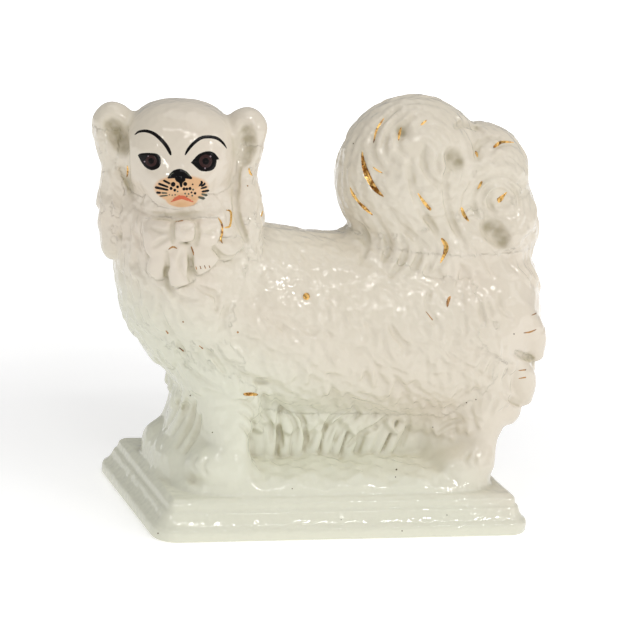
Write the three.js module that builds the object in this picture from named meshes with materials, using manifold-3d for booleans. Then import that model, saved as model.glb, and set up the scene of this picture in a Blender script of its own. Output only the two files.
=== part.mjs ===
// A glazed earthenware spaniel standing on a stepped plinth, cast in one piece.
// Millimetres. The origin is the middle of the plinth's underside. X runs from the head end
// to the tail end, -Y is the side that the dog's face turns to, and +Z is up.

import * as THREE from 'three';
import { mergeVertices } from 'three/addons/utils/BufferGeometryUtils.js';
import Module from 'manifold-3d';

const wasm = await Module();
wasm.setup();

// The plinth: a rectangle with rounded corners, and its moulding as [inset, height] steps.
const PLINTH_LENGTH = 193;
const PLINTH_DEPTH = 106;
const PLINTH_CORNER = 14;
const CORNER_STEPS = 5;
const MOULDING = [
  [0.8, 0], [0, 0.9], [0, 4.8], [0.7, 6.2], [2.2, 7], [4, 9.6], [5.2, 12.8],
  [6.6, 13.6], [6.7, 14.4], [7.2, 16.8], [10, 18.6],
];

// The ground: a low bank with a rough top that fills the top of the plinth.
const GROUND = { middle: [0, 0, 17], half: [79, 41, 14] };
const GROUND_WAVE = 1.2;

// The body, from the front of the chest to the rump: [x, y, z, half width, half height].
const BODY = [
  [-104, 0, 114, 12, 14],
  [-84, 0, 107, 27, 33],
  [-52, 0, 99, 33, 44],
  [-18, 0, 94, 34, 44],
  [22, 0, 93, 35, 44],
  [60, 0, 90, 36, 45],
  [92, 0, 86, 30, 38],
  [106, 0, 84, 14, 20],
];

// The chest and neck, from the front legs up to the head: [x, y, z, half width, half depth].
const CHEST = [
  [-54, 0, 54, 22, 18],
  [-61, 0, 74, 28, 22],
  [-71, 0, 94, 32, 26.5],
  [-79, 0, 116, 33, 31],
  [-82, -2, 140, 31, 30.5],
  [-86, -4, 164, 24, 24],
];
const RUMP = { middle: [74, 0, 90], half: [35, 36, 46] };

// The head. It looks out to the -X side of -Y, and leans a little to its own right.
const HEAD = new THREE.Vector3(-89, -5, 178.5);
const HEAD_YAW = -20;
const HEAD_LEAN = 4;
const HEAD_HALF = [26.5, 25.5, 24];
const MUZZLE_PLACE = [0, 20.5, -10.5];
const MUZZLE_HALF = [13.5, 9, 10.5];

// One ear, in the head's own axes: [to the side, forward, up, half width, half thickness].
const EAR = [
  [15, -2, 8, 6, 6],
  [26, -1, 14, 7.5, 8],
  [33, 0, 11.5, 9.5, 9],
  [29.5, 0, -7, 8, 8.5],
  [30.5, 0, -28, 9.5, 9],
  [31.5, 1, -53, 10, 7.5],
];
const EAR_SWAY = 0.05;

// The bow under the chin, in the head's own axes: loops and ribbon ends at both sides of a knot.
const BOW_KNOT = [-1, 23.5, -33.5];
const BOW_KNOT_HALF = [5, 4.5, 6];
const BOW_LOOP = [
  [0, 0, 0, 4, 3],
  [8, 1, 4, 8, 4],
  [16, -2, 3.5, 8.5, 4.5],
  [19, -4, 2, 6, 4],
];
const BOW_END = [
  [0, 0, -2, 3, 2.5],
  [4, 0.5, -12, 4.5, 3],
  [9, 0.5, -24, 5.5, 3],
];

// The tail: a plume that rises from the rump and lies over the back, with a curl at its end.
// Each egg is [half length, half height, half width], with its poles at its two flanks.
const PLUME = { middle: [31, 0, 168], half: [35, 37, 26] };
const PLUME_NECK = { middle: [66, 0, 169], half: [24, 24, 22] };
const CURL = { middle: [75, 0, 145], half: [24, 26, 24] };
const TAIL_ROOT = { middle: [50, 0, 134], half: [44, 27, 28] };

// Legs and feet: strands down to the ground, [x, y, z, half width, half length].
const LEGS = [
  [[-64, -12, 80, 17, 17], [-58, -22, 58, 11, 15], [-55, -26, 42, 10, 13], [-54, -26, 27, 11, 14]],
  [[-60, 12, 80, 17, 17], [-61, 17, 58, 11, 13], [-63, 19, 44, 10, 11], [-66, 19, 27, 11, 13]],
  [[76, -12, 74, 20, 18], [76, -22, 56, 12, 14], [74.5, -26, 42, 9, 11.5], [74.5, -27, 27, 10, 12.5]],
  [[56, 8, 70, 20, 16], [52, 10, 54, 18, 11], [48, 10, 42, 17, 8], [46, 10, 27, 18, 9]],
];
const FEET = [
  { middle: [-63, -29, 31], half: [13, 9, 7] },
  { middle: [-76, 18, 28.5], half: [11, 9, 8] },
  { middle: [65, -30, 30], half: [12, 9, 6.5] },
  { middle: [38, 6, 31], half: [13, 14, 6] },
];

// The bank of grass that fills the space between the legs, and the blades carved on it.
const GRASS = { middle: [4, 4, 42], half: [80, 10, 26] };
const BLADE_START = -34;
const BLADE_END = 36;
const BLADE_STEP = 9.5;
const BLADE_HALF = 3;

// Tufts that hang at the rump: [top x, top height, end x, end height], and their places across.
const RUMP_TUFTS = [
  [96, 106, 102, 80],
  [95, 84, 100, 56],
  [90, 66, 93, 47],
];
const TUFT_PLACES = [-20, 0, 20];
const TUFT_HALF = 9;

// Locks are carved as ridges that run over the facets: how high they stand, and how far
// a ridge moves on, in half ridges, from one row of facets to the next and from one column.
const COAT_LOCKS = { high: 1.6, perRow: 1 / 3, perColumn: 1 };
const PLUME_LOCKS = { high: 1.8, perRow: 1, perColumn: 1 / 6 };
const CURL_LOCKS = { high: 1.5, perRow: 1, perColumn: 1 / 5 };

// The joins between shapes are exact to this.
const TOLERANCE = 0.05;

const X = new THREE.Vector3(1, 0, 0);
const Y = new THREE.Vector3(0, 1, 0);
const Z = new THREE.Vector3(0, 0, 1);
const UPRIGHT = new THREE.Matrix4();
const SIDEWAYS = new THREE.Matrix4().makeBasis(X, Z, Y.clone().negate());

function clean(geometry) {
  geometry.deleteAttribute('normal');
  geometry.deleteAttribute('uv');
  return mergeVertices(geometry);
}

function solid(geometry) {
  const mesh = new wasm.Mesh({
    numProp: 3,
    vertProperties: new Float32Array(geometry.attributes.position.array),
    triVerts: new Uint32Array(geometry.index.array),
    tolerance: TOLERANCE,
  });
  return new wasm.Manifold(mesh);
}

// Moves every vertex of a geometry by a function of the vertex.
function moved(geometry, place) {
  const { position } = geometry.attributes;
  const vertex = new THREE.Vector3();
  for (let i = 0; i < position.count; i += 1) {
    vertex.fromBufferAttribute(position, i);
    place(vertex);
    position.setXYZ(i, vertex.x, vertex.y, vertex.z);
  }
  return geometry;
}

const power = (value, exponent) => Math.sign(value) * Math.abs(value) ** exponent;

// How high a ridge stands at a vertex of the unit sphere, whose poles are on its y axis.
function ridge(v, around, rows, locks) {
  if (!locks) return 0;
  const row = (Math.acos(THREE.MathUtils.clamp(v.y, -1, 1)) / Math.PI) * rows;
  const column = (Math.atan2(v.z, v.x) / (2 * Math.PI)) * around;
  return locks.high * Math.cos(Math.PI * (row * locks.perRow + column * locks.perColumn));
}

// An egg, with its poles on the third of its axes. square under 1 makes the outline round
// its waist boxy, and blunt under 1 flattens its poles.
function egg({ middle, half }, options = {}) {
  const { around = 18, rows = 12, square = 1, blunt = 1, axes = UPRIGHT, locks, rough } = options;
  const place = (v) => {
    const high = ridge(v, around, rows, locks);
    const ring = Math.hypot(v.x, v.z);
    const reach = ring < 1e-6 ? 0 : ring ** blunt;
    const turn = Math.atan2(v.z, v.x);
    v.set(
      (half[0] + high) * reach * power(Math.cos(turn), square),
      (half[1] + high) * reach * power(Math.sin(turn), square) * -1,
      (half[2] + high) * power(v.y, blunt),
    );
    v.applyMatrix4(axes).add(new THREE.Vector3(...middle));
    if (rough) rough(v);
  };
  return solid(moved(clean(new THREE.SphereGeometry(1, around, rows)), place));
}

// A strand with rounded ends that follows its knots: [x, y, z, half width, half height].
function strand(knots, options = {}) {
  const { around = 12, rows = 10, blunt = 0.6, up = Z, locks } = options;
  const spine = new THREE.CatmullRomCurve3(knots.map((k) => new THREE.Vector3(k[0], k[1], k[2])));
  const sizes = new THREE.CatmullRomCurve3(knots.map((k) => new THREE.Vector3(k[3], k[4], 0)));
  const place = (v) => {
    const t = THREE.MathUtils.clamp((1 - v.y) / 2, 0, 1);
    const high = ridge(v, around, rows, locks);
    const ring = Math.hypot(v.x, v.z);
    const reach = ring < 1e-6 ? 0 : ring ** (blunt - 1);
    const tangent = spine.getTangent(t);
    const side = new THREE.Vector3().crossVectors(up, tangent).normalize();
    const lift = new THREE.Vector3().crossVectors(tangent, side);
    const size = sizes.getPoint(t);
    const point = spine.getPoint(t);
    point.addScaledVector(side, v.x * reach * (size.x + high));
    point.addScaledVector(lift, v.z * reach * (size.y + high));
    v.copy(point);
  };
  return solid(moved(clean(new THREE.SphereGeometry(1, around, rows)), place));
}

// The plinth is turned as a round moulding, whose four quarters are then pulled apart.
function plinth() {
  const step = Math.PI / 2 / CORNER_STEPS;
  const grow = 1 / Math.cos(step / 2);
  const outline = MOULDING.map(([inset, height]) => new THREE.Vector2(PLINTH_CORNER - inset, height));
  const profile = [new THREE.Vector2(0, 0), ...outline, new THREE.Vector2(0, MOULDING.at(-1)[1])];
  const turned = clean(new THREE.LatheGeometry(profile, 4 * CORNER_STEPS, step / 2));
  turned.rotateX(Math.PI / 2);
  const place = (v) => {
    if (Math.hypot(v.x, v.y) < 1e-6) return;
    v.x = v.x * grow + Math.sign(v.x) * (PLINTH_LENGTH / 2 - PLINTH_CORNER);
    v.y = v.y * grow + Math.sign(v.y) * (PLINTH_DEPTH / 2 - PLINTH_CORNER);
  };
  return solid(moved(turned, place));
}

function ground() {
  const rough = (v) => {
    if (v.z > GROUND.middle[2]) v.z += GROUND_WAVE * Math.sin(v.x / 5) * Math.cos(v.y / 6);
  };
  return egg(GROUND, { around: 24, rows: 8, square: 0.42, blunt: 0.8, rough });
}

function trunk() {
  return [
    strand(BODY, { around: 30, rows: 24, blunt: 0.75, locks: COAT_LOCKS }),
    strand(CHEST, { around: 24, rows: 15, up: X, locks: COAT_LOCKS }),
    egg(RUMP, { around: 24, rows: 15, locks: COAT_LOCKS }),
  ];
}

function tail() {
  return [
    egg(PLUME, { around: 24, rows: 16, axes: SIDEWAYS, locks: PLUME_LOCKS }),
    egg(PLUME_NECK, { around: 14, rows: 9, axes: SIDEWAYS }),
    egg(CURL, { around: 20, rows: 14, axes: SIDEWAYS, locks: CURL_LOCKS }),
    egg(TAIL_ROOT, { around: 20, rows: 9, axes: SIDEWAYS }),
  ];
}

function rumpTufts() {
  return RUMP_TUFTS.flatMap(([topX, topZ, endX, endZ]) => TUFT_PLACES.map((y) => {
    const back = (y / 15) ** 2;
    return strand([
      [topX - back - 4, y, topZ, TUFT_HALF, TUFT_HALF * 0.7],
      [(topX + endX) / 2 - back, y, (topZ + endZ) / 2, TUFT_HALF * 1.1, TUFT_HALF],
      [endX - back, y, endZ + 4, TUFT_HALF * 0.7, TUFT_HALF * 0.7],
    ], { around: 7, rows: 5, up: X });
  }));
}

// The head's own axes: to its side, forward, and up.
function headAxes() {
  const yaw = THREE.MathUtils.degToRad(HEAD_YAW);
  const lean = THREE.MathUtils.degToRad(HEAD_LEAN);
  const forward = new THREE.Vector3(Math.sin(yaw), -Math.cos(yaw), 0);
  const back = forward.clone().negate();
  const side = new THREE.Vector3(Math.cos(yaw), Math.sin(yaw), 0).applyAxisAngle(forward, lean);
  const up = new THREE.Vector3().crossVectors(side, back);
  return { side, forward, up, matrix: new THREE.Matrix4().makeBasis(side, back, up) };
}

function onHead(axes, [right, forward, up]) {
  return HEAD.clone()
    .addScaledVector(axes.side, right)
    .addScaledVector(axes.forward, forward)
    .addScaledVector(axes.up, up)
    .toArray();
}

// A strand in the head's axes. What hangs from the head may sway a little to one side.
function headStrand(axes, knots, mirror, origin, options, sway = 0) {
  const placed = knots.map(([right, forward, up, wide, thick]) => {
    const swing = Math.min(0, up) * sway;
    const point = [origin[0] + mirror * right - swing, origin[1] + forward, origin[2] + up];
    return [...onHead(axes, point), wide, thick];
  });
  return strand(placed, options);
}

function head() {
  const axes = headAxes();
  const shape = { axes: axes.matrix };
  const muzzle = { middle: onHead(axes, MUZZLE_PLACE), half: MUZZLE_HALF };
  const knot = { middle: onHead(axes, BOW_KNOT), half: BOW_KNOT_HALF };
  const parts = [
    egg({ middle: HEAD.toArray(), half: HEAD_HALF }, { ...shape, around: 22, rows: 14, square: 0.85, blunt: 0.8 }),
    egg(muzzle, { ...shape, around: 12, rows: 8 }),
    egg(knot, { ...shape, around: 8, rows: 6, blunt: 0.8 }),
  ];
  const facing = { up: axes.forward };
  for (const mirror of [-1, 1]) {
    parts.push(headStrand(axes, EAR, mirror, [0, 0, 0], { ...facing, around: 10, rows: 12 }, EAR_SWAY));
    parts.push(headStrand(axes, BOW_LOOP, mirror, BOW_KNOT, { ...facing, around: 8, rows: 6 }));
    parts.push(headStrand(axes, BOW_END, mirror, BOW_KNOT, { ...facing, around: 8, rows: 5 }));
  }
  return parts;
}

function legs() {
  return [
    ...LEGS.map((knots) => strand(knots, { around: 9, rows: 6, up: X })),
    ...FEET.map((foot) => egg(foot, { around: 9, rows: 6, blunt: 0.8 })),
  ];
}

function grass() {
  const parts = [egg(GRASS, { around: 20, rows: 6, square: 0.35, blunt: 0.5 })];
  for (let x = BLADE_START; x <= BLADE_END; x += BLADE_STEP) {
    for (const side of [-1, 1]) {
      const y = GRASS.middle[1] + side * GRASS.half[1];
      parts.push(strand([
        [x + 7, y, 58, BLADE_HALF, BLADE_HALF],
        [x + 2, y, 47, BLADE_HALF, BLADE_HALF],
        [x, y, 30, BLADE_HALF, BLADE_HALF],
      ], { around: 5, rows: 4, up: X }));
    }
  }
  return parts;
}

function figure() {
  const parts = [ground(), ...trunk(), ...legs(), ...head(), ...tail(), ...rumpTufts(), ...grass()];
  return parts.reduce((whole, part) => whole.add(part), plinth());
}

function toGeometry(manifold) {
  const { vertProperties, triVerts } = manifold.getMesh();
  const geometry = new THREE.BufferGeometry();
  geometry.setAttribute('position', new THREE.BufferAttribute(vertProperties, 3));
  geometry.setIndex(new THREE.BufferAttribute(triVerts, 1));
  geometry.computeVertexNormals();
  return geometry;
}

const glaze = new THREE.MeshStandardMaterial({ color: 0xe6dfd0, roughness: 0.12, metalness: 0 });
const spaniel = new THREE.Mesh(toGeometry(figure()), glaze);
spaniel.name = 'spaniel_figure';

const group = new THREE.Group();
group.add(spaniel);

export default group;
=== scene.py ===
# A glazed earthenware spaniel on its plinth, cast in one piece: its carving, glaze, paint and gilt.
# Sizes are in millimetres until the meshes are made. +X runs to the tail, -Y is the side shown.
import math

import bpy
import numpy as np
from mathutils import Matrix, Vector
from mathutils.bvhtree import BVHTree


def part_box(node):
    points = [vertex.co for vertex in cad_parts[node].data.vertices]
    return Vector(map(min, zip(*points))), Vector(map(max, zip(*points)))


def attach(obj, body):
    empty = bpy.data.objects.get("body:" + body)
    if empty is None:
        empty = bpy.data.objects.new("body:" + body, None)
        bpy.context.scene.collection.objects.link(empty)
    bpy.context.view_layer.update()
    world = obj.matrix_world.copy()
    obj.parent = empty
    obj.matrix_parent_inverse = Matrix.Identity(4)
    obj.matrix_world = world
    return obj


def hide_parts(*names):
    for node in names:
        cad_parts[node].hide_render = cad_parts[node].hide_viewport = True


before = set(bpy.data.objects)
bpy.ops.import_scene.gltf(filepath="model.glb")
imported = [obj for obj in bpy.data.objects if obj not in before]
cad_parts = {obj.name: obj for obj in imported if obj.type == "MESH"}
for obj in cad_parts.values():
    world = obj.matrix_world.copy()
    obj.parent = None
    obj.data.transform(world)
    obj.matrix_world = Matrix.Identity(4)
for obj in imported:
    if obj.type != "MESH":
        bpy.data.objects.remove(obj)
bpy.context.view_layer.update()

NODE = "spaniel_figure"
MM = 0.001
SEED = 7

# The clay's grid, the room round the figure, the distance that empty clay starts with, and the
# triangles that the finished mesh may have.
GRID = 0.85
MARGIN = 4.0
FAR = 50.0
TRIANGLES = 192000
# The cells that a form's box is widened by, and how far a place stays from the grid's last line.
SPARE_CELLS, LAST_LINE = 3, 1.001
# The least length and slope that anything is divided by, and an egg's least scale and slope.
LEAST_LENGTH, LEAST_SLOPE, LEAST_STEP = 1e-6, 1e-3, 1e-3
EGG_SCALE, EGG_SLOPE = 0.05, 0.3
# A ray to the clay: how far before the aim it starts, its steps, their limits, and their share of
# the distance. Then the rounds that settle a point on the surface, and a limb's links to a knot.
RAY_START, RAY_STEPS, STEP_LIMITS, STEP_SHARE = 190.0, 160, (-2, 3), 0.85
SETTLE_ROUNDS = 2
LINKS_TO_KNOT = 4

# The photo's view: its angle, distance and scale, and the pixel that the aimed point falls on.
AZIMUTH, ELEVATION, ROLL = -21.5, 16.5, 6.6
DISTANCE = 1500.0
MM_PER_PIXEL = 0.486
AIM = np.array((0.0, 0.0, 105.0))
AIM_PIXEL = np.array((335.7, 298.3))
PICTURE = 640
SENSOR = 36.0

# The plinth: a rectangle with rounded corners, and its moulding as (inset, height) steps.
PLINTH = (193.0, 106.0)
PLINTH_CORNER = 11.0
MOULDING = (
    (0.8, 0.0), (0.0, 0.9), (0.0, 4.8), (0.7, 6.2), (2.2, 7.0), (4.0, 9.6), (5.2, 12.8),
    (6.6, 13.6), (6.7, 14.4), (7.2, 16.8), (10.0, 18.6),
)
# The moulding's section is worked out from one depth to another in steps, over a core this deep.
SECTION_DEPTHS, SECTION_CORE = (-16.0, 8.0, 0.25), -60.0

# The ground: a low bank, how square its outline and its edge are, how far it goes down into the
# plinth, and the room over it.
GROUND_MIDDLE, GROUND_HALF = 17.0, (83.0, 42.5, 14.0)
GROUND_OUTLINE, GROUND_BULGE, GROUND_DEPTH, GROUND_ROOM = 6.0, 2.5, 8.0, 3.0
# Its rough top: a swell with its sway, finer waves with their height and their lengths along x and
# y in two sines, and the height of it all. Then its distances' share, as its sides are steep.
SWELL_LENGTH, SWAY, SWAY_LENGTH, SWELL_ACROSS = 5.0, 0.6, 4.0, 6.0
GROUND_WAVES = ((0.7, (2.3, 3.1), (-7.0, 2.7)), (0.4, (1.3, -2.1), (3.0, 1.5)))
GROUND_ROUGH, GROUND_STEEP = 0.8, 0.75

# The body and the chest: x, y, z, half width, and half height or half depth.
BODY = (
    (-86, 0, 112, 14, 18), (-76, 0, 107, 25, 31), (-50, 0, 99, 33, 43), (-18, 0, 94, 34, 44),
    (22, 0, 93, 35, 44), (58, 0, 90, 36, 44), (76, 0, 88, 28, 36), (84, 0, 86, 16, 22),
)
CHEST = (
    (-54, 0, 54, 22, 16), (-59, 0, 74, 27, 16.5), (-69, 0, 94, 31, 21.5), (-79, 0, 116, 33, 30),
    (-82, -2, 140, 31, 30), (-86, -4, 164, 24, 23),
)
RUMP_MIDDLE, RUMP_HALF = (72, 0, 99), (34, 36, 42)
BODY_LINKS, CHEST_LINKS = 16, 12

# The head, its lean and its axes' turn, then what is on it in its own axes: to the side, forward, up.
HEAD = np.array((-89.0, -5.0, 178.5))
HEAD_YAW, HEAD_LEAN = -20.0, 4.0
HEAD_HALF = (26.5, 25.5, 24.0)
MUZZLE, MUZZLE_HALF = (0, 20.5, -10.5), (13.5, 9, 10.5)
EAR = (
    (15, -2, 4, 6, 6), (25.5, -1, 11, 7, 8), (32.3, 0, 12, 8.8, 9), (28.5, 0, -7, 6.8, 8.5),
    (29.5, 0, -28, 8.6, 9), (30, 1, -46, 7, 6.5),
)
EAR_SWAY = 0.05

# The tail: a plume over the back, with a curl at its end.
PLUME_MIDDLE, PLUME_HALF = (31, 0, 168), (36, 26, 37.5)
PLUME_NECK_MIDDLE, PLUME_NECK_HALF = (66, 0, 169), (24, 22, 24)
CURL_MIDDLE, CURL_HALF = (75, 0, 145), (24, 24, 26)
TAIL_ROOT_MIDDLE, TAIL_ROOT_HALF = (50, 0, 134), (44, 28, 27)

# Legs and feet, down to the ground: x, y, z, half width, half length.
LEGS = (
    ((-64, -12, 80, 17, 17), (-58, -22, 58, 11, 14), (-57, -26, 42, 10, 10), (-57, -26, 30, 11, 12)),
    ((-60, 12, 80, 17, 17), (-61, 17, 58, 11, 13), (-63, 19, 44, 10, 11), (-66, 19, 27, 11, 13)),
    ((76, -12, 74, 20, 18), (76, -22, 56, 12, 13), (75, -25, 42, 8, 8.5), (73, -27, 30, 10, 9.5)),
    ((56, 8, 70, 20, 16), (52, 10, 54, 18, 11), (48, 10, 42, 17, 8), (46, 10, 27, 18, 9)),
)
FEET = (
    ((-63, -29, 31), (13, 9, 7)), ((-74, 18, 27.5), (10, 9, 7.5)),
    ((64, -30, 29), (10, 8, 6)), ((38, 4, 31), (13, 15, 6)), ((-72, 2, 23), (13, 26, 11)),
)
# Walls that close the space between a near leg and a far one, at the front and at the back.
WEBS = (
    ((-60, 0, 72, 22, 14), (-64, -2, 48, 18, 9), (-70, -4, 28, 21, 11)),
    ((66, 4, 70, 18, 14), (66, 6, 46, 14, 10), (66, 6, 28, 16, 11)),
    ((50, -10, 66, 14, 14), (61, -15, 50, 9, 10), (63, -16, 30, 9, 11)),
)

# The bank of grass between the legs, and its blades.
GRASS_MIDDLE, GRASS_HALF = (6, 0, 42), (83, 15, 26)
BLADES = 12
BLADE_START, BLADE_END, BLADE_SINK = -44.0, 30.0, 0.5
# The blades' lean: the first one's, what the last one adds, and how late that comes. Then the
# random shifts of place and lean, and the least and most half width.
FIRST_LEAN, MORE_LEAN, LEAN_DELAY = -5, 25, 1.3
BLADE_SHIFT, LEAN_SHIFT, BLADE_WIDTHS = 1.5, 2, (2.6, 4.2)
# A blade's knots: their shares of its lean, out, height, shares of its half width, half thickness.
BLADE_KNOTS = ((1, -0.5, 61, 0.7, 1.4), (0.4, 0.8, 47, 1, 2.2), (0, 1.5, 29, 0.9, 2.4))

# Tufts that hang at the rump: top x, top height, end x, end height, and their places across.
RUMP_TUFTS = ((92, 110, 102, 80), (91, 86, 99, 57), (86, 66, 92, 47))
TUFT_PLACES = (-24, -12, 0, 12, 24)
# Their half size, its shares in width and thickness at the top, middle and end, how far the knots
# stay inside both ends, and the distance across at which the rump falls back by a millimetre.
TUFT_HALF, TUFT_SHARES = 8.0, ((1.0, 0.7), (0.9, 1.0), (0.4, 0.5))
TUFT_INSET, RUMP_ROUND = 4.0, 15.0

# How square the grass, the feet and the head are, from 2 for round.
GRASS_POWER, FOOT_POWER, HEAD_POWER = 5, 2.4, 2.4
# How softly each form runs into what is there before it, or is cut into it.
BLEND = {
    "plinth": 0.4, "ground": 2.0, "grass": 3.0, "blade": 0.8, "leg": 8.0, "foot": 6.0,
    "body": 10.0, "rump": 8.0, "tuft": 2.5, "trunk": 3.0, "head": 4.0, "muzzle": 7.0,
    "ear": 3.0, "lobe": 1.2, "groove": 1.4, "hollow": 4.0,
}
TAIL_BLENDS = (5.0, 3.0, 5.0, 5.0)

# Carving that shows in the photo: grooves with a width, a depth and the photo's pixels they follow.
# All depths are made this much deeper. A groove has at least so many links, each so long, and its
# taper starts and ends at these shares of a half turn.
GROOVE_DEPTH = 1.15
GROOVE_LINKS, GROOVE_LINK, GROOVE_TAPER = 6, 2.0, (0.1, 0.9)
TAIL_GROOVES = (
    (3.6, 1.5, ((399, 107), (385, 118), (375, 132), (371, 147), (375, 162), (385, 174))),
    (3.0, 1.3, ((405, 113), (392, 124), (385, 137), (384, 150), (389, 160), (398, 165))),
    (3.2, 1.5, ((413, 117), (402, 126), (397, 138), (399, 150), (407, 156))),
    (3.0, 1.2, ((361, 148), (363, 166), (370, 183), (381, 196), (391, 204))),
    (2.6, 1.0, ((352, 186), (356, 198), (366, 210), (378, 219))),
    (3.6, 1.6, ((411, 160), (411, 176), (414, 193), (421, 210), (432, 226), (442, 239))),
    (3.2, 1.5, ((425, 146), (423, 160), (427, 174), (437, 185), (447, 190))),
    (2.6, 1.2, ((440, 152), (437, 164), (441, 176))),
    (2.6, 1.1, ((417, 192), (424, 203), (432, 213))),
    (3.6, 1.6, ((390, 211), (401, 227), (416, 239), (429, 249))),
    (3.2, 1.4, ((371, 216), (383, 231), (388, 246), (383, 262))),
    (2.8, 1.2, ((357, 222), (366, 234), (366, 249), (359, 264))),
    (3.4, 1.5, ((400, 236), (405, 250), (400, 264), (390, 276))),
    (3.0, 1.3, ((415, 241), (420, 253), (413, 268), (404, 276))),
    (3.0, 1.3, ((440, 237), (447, 249), (441, 265))),
    (2.6, 1.0, ((430, 238), (436, 252), (429, 268))),
    (3.4, 1.5, ((452, 160), (446, 176), (446, 195), (449, 212), (455, 229), (464, 241))),
    (3.6, 1.8, ((455, 127), (464, 124), (475, 128))),
    (3.0, 1.3, ((477, 160), (476, 149), (484, 140), (496, 137), (508, 141))),
    (2.6, 1.1, ((489, 155), (495, 147), (506, 143), (517, 146))),
    (2.6, 1.1, ((494, 163), (502, 155), (513, 156), (522, 166))),
)
BODY_GROOVES = (
    (2.4, 0.9, ((464, 315), (466, 331), (471, 344), (482, 353), (498, 359), (515, 367))),
    (2.6, 1.0, ((479, 299), (482, 315), (487, 327))),
    (2.6, 1.0, ((487, 299), (491, 315), (497, 327))),
    (2.6, 1.0, ((499, 295), (501, 309), (512, 318))),
    (3.0, 1.6, ((516, 352), (524, 356), (532, 358))),
    (3.0, 1.6, ((506, 396), (513, 400), (520, 404))),
    (2.4, 0.8, ((368, 349), (386, 366), (406, 376))),
    (2.8, 1.1, ((265, 316), (279, 327), (296, 335))),
    (2.6, 1.0, ((285, 316), (300, 328), (314, 335))),
    (3.4, 1.4, ((213, 346), (228, 367), (247, 379), (266, 383))),
    (2.6, 1.1, ((226, 305), (222, 321), (229, 336))),
    (2.8, 1.2, ((158, 305), (163, 322), (173, 338), (186, 356))),
    (2.6, 1.1, ((180, 362), (198, 378), (222, 392))),
    (2.6, 1.1, ((196, 343), (211, 356), (224, 373))),
    (3.4, 1.6, ((192, 285), (203, 291), (217, 297), (216, 310))),
    (3.0, 1.3, ((167, 285), (177, 299), (194, 301))),
    (2.8, 1.2, ((430, 291), (427, 305), (435, 320))),
    (2.8, 1.1, ((390, 325), (397, 338), (407, 345))),
    (2.6, 1.0, ((412, 306), (421, 316), (434, 323))),
    (2.6, 0.9, ((440, 345), (455, 360), (475, 371), (492, 382))),
)
LEG_GROOVES = (
    (2.4, 1.2, ((188, 392), (184, 412), (173, 434))),
    (2.2, 1.1, ((195, 402), (190, 424), (177, 447))),
    (2.2, 1.1, ((181, 391), (176, 410), (166, 428))),
    (2.2, 1.1, ((200, 415), (196, 433), (185, 452))),
    (2.4, 1.1, ((236, 401), (248, 404), (257, 412))),
    (2.2, 1.0, ((238, 412), (249, 417), (255, 427))),
    (2.2, 1.0, ((237, 424), (246, 430), (250, 439))),
    (1.8, 0.8, ((196, 457), (192, 464), (195, 472))),
    (1.8, 0.8, ((206, 459), (203, 467), (206, 475))),
    (1.8, 0.8, ((470, 452), (466, 459), (469, 466))),
    (1.8, 0.8, ((478, 453), (475, 461), (478, 468))),
)
GRASS_GROOVES = (
    (2.6, 1.5, ((262, 414), (270, 424), (272, 444))),
    (2.6, 1.5, ((279, 411), (279, 430), (282, 447))),
    (2.4, 1.3, ((287, 412), (295, 424), (297, 443))),
    (2.4, 1.3, ((293, 410), (303, 420), (307, 444))),
    (2.6, 1.2, ((319, 426), (313, 434), (309, 447))),
    (2.4, 1.2, ((344, 411), (331, 418), (323, 431))),
    (2.4, 1.2, ((350, 413), (333, 427), (327, 443))),
    (2.4, 1.1, ((359, 414), (344, 427), (335, 440))),
    (3.4, 2.0, ((387, 417), (377, 427), (361, 435), (348, 446))),
    (2.6, 1.2, ((406, 410), (409, 424), (402, 446))),
    (2.6, 1.2, ((462, 420), (448, 423), (436, 432))),
    (2.4, 1.0, ((458, 430), (447, 433), (437, 441))),
)
FACE_GROOVES = (
    (2.8, 1.0, ((133, 207), (146, 214), (166, 218), (182, 218), (198, 216), (214, 212), (226, 206))),
    (2.8, 1.1, ((127, 152), (127, 168), (128, 184), (132, 200))),
    (3.4, 1.7, ((238, 168), (236, 185), (235, 203), (238, 222), (246, 241))),
    (1.5, 0.7, ((168, 203), (175, 199), (180, 197), (187, 199), (194, 203))),
)

# The arcs of the tail's curl: their middle, then radius and first and last angle, in pixels and
# degrees, then the groove's width and depth, and the points to an arc.
CURL_EYE = (500, 202)
CURL_ARCS = ((11, 20, 235), (19, -25, 225), (27, 40, 215))
CURL_GROOVE = (2.8, 1.3)
ARC_POINTS = 7

# Hollows: the pixel where one shows, its radius, and how far its middle lies under the surface.
HOLLOWS = (
    ((110, 125), 2.8, 0.2), ((115, 132), 3.4, 0.8), ((119, 139), 3.6, 1.0), ((123, 147), 2.8, 0.6),
    ((245, 130), 2.4, 0.2), ((247, 140), 3.2, 0.8), ((247, 150), 3.4, 1.0), ((244, 160), 2.6, 0.6),
    ((401, 132), 3.0, 0.2), ((452, 156), 3.8, 0.2), ((457, 163), 3.4, 0.2),
    ((490, 227), 4.2, 0.2), ((497, 233), 4.4, 0.2), ((503, 240), 3.8, 0.2),
)

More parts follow.
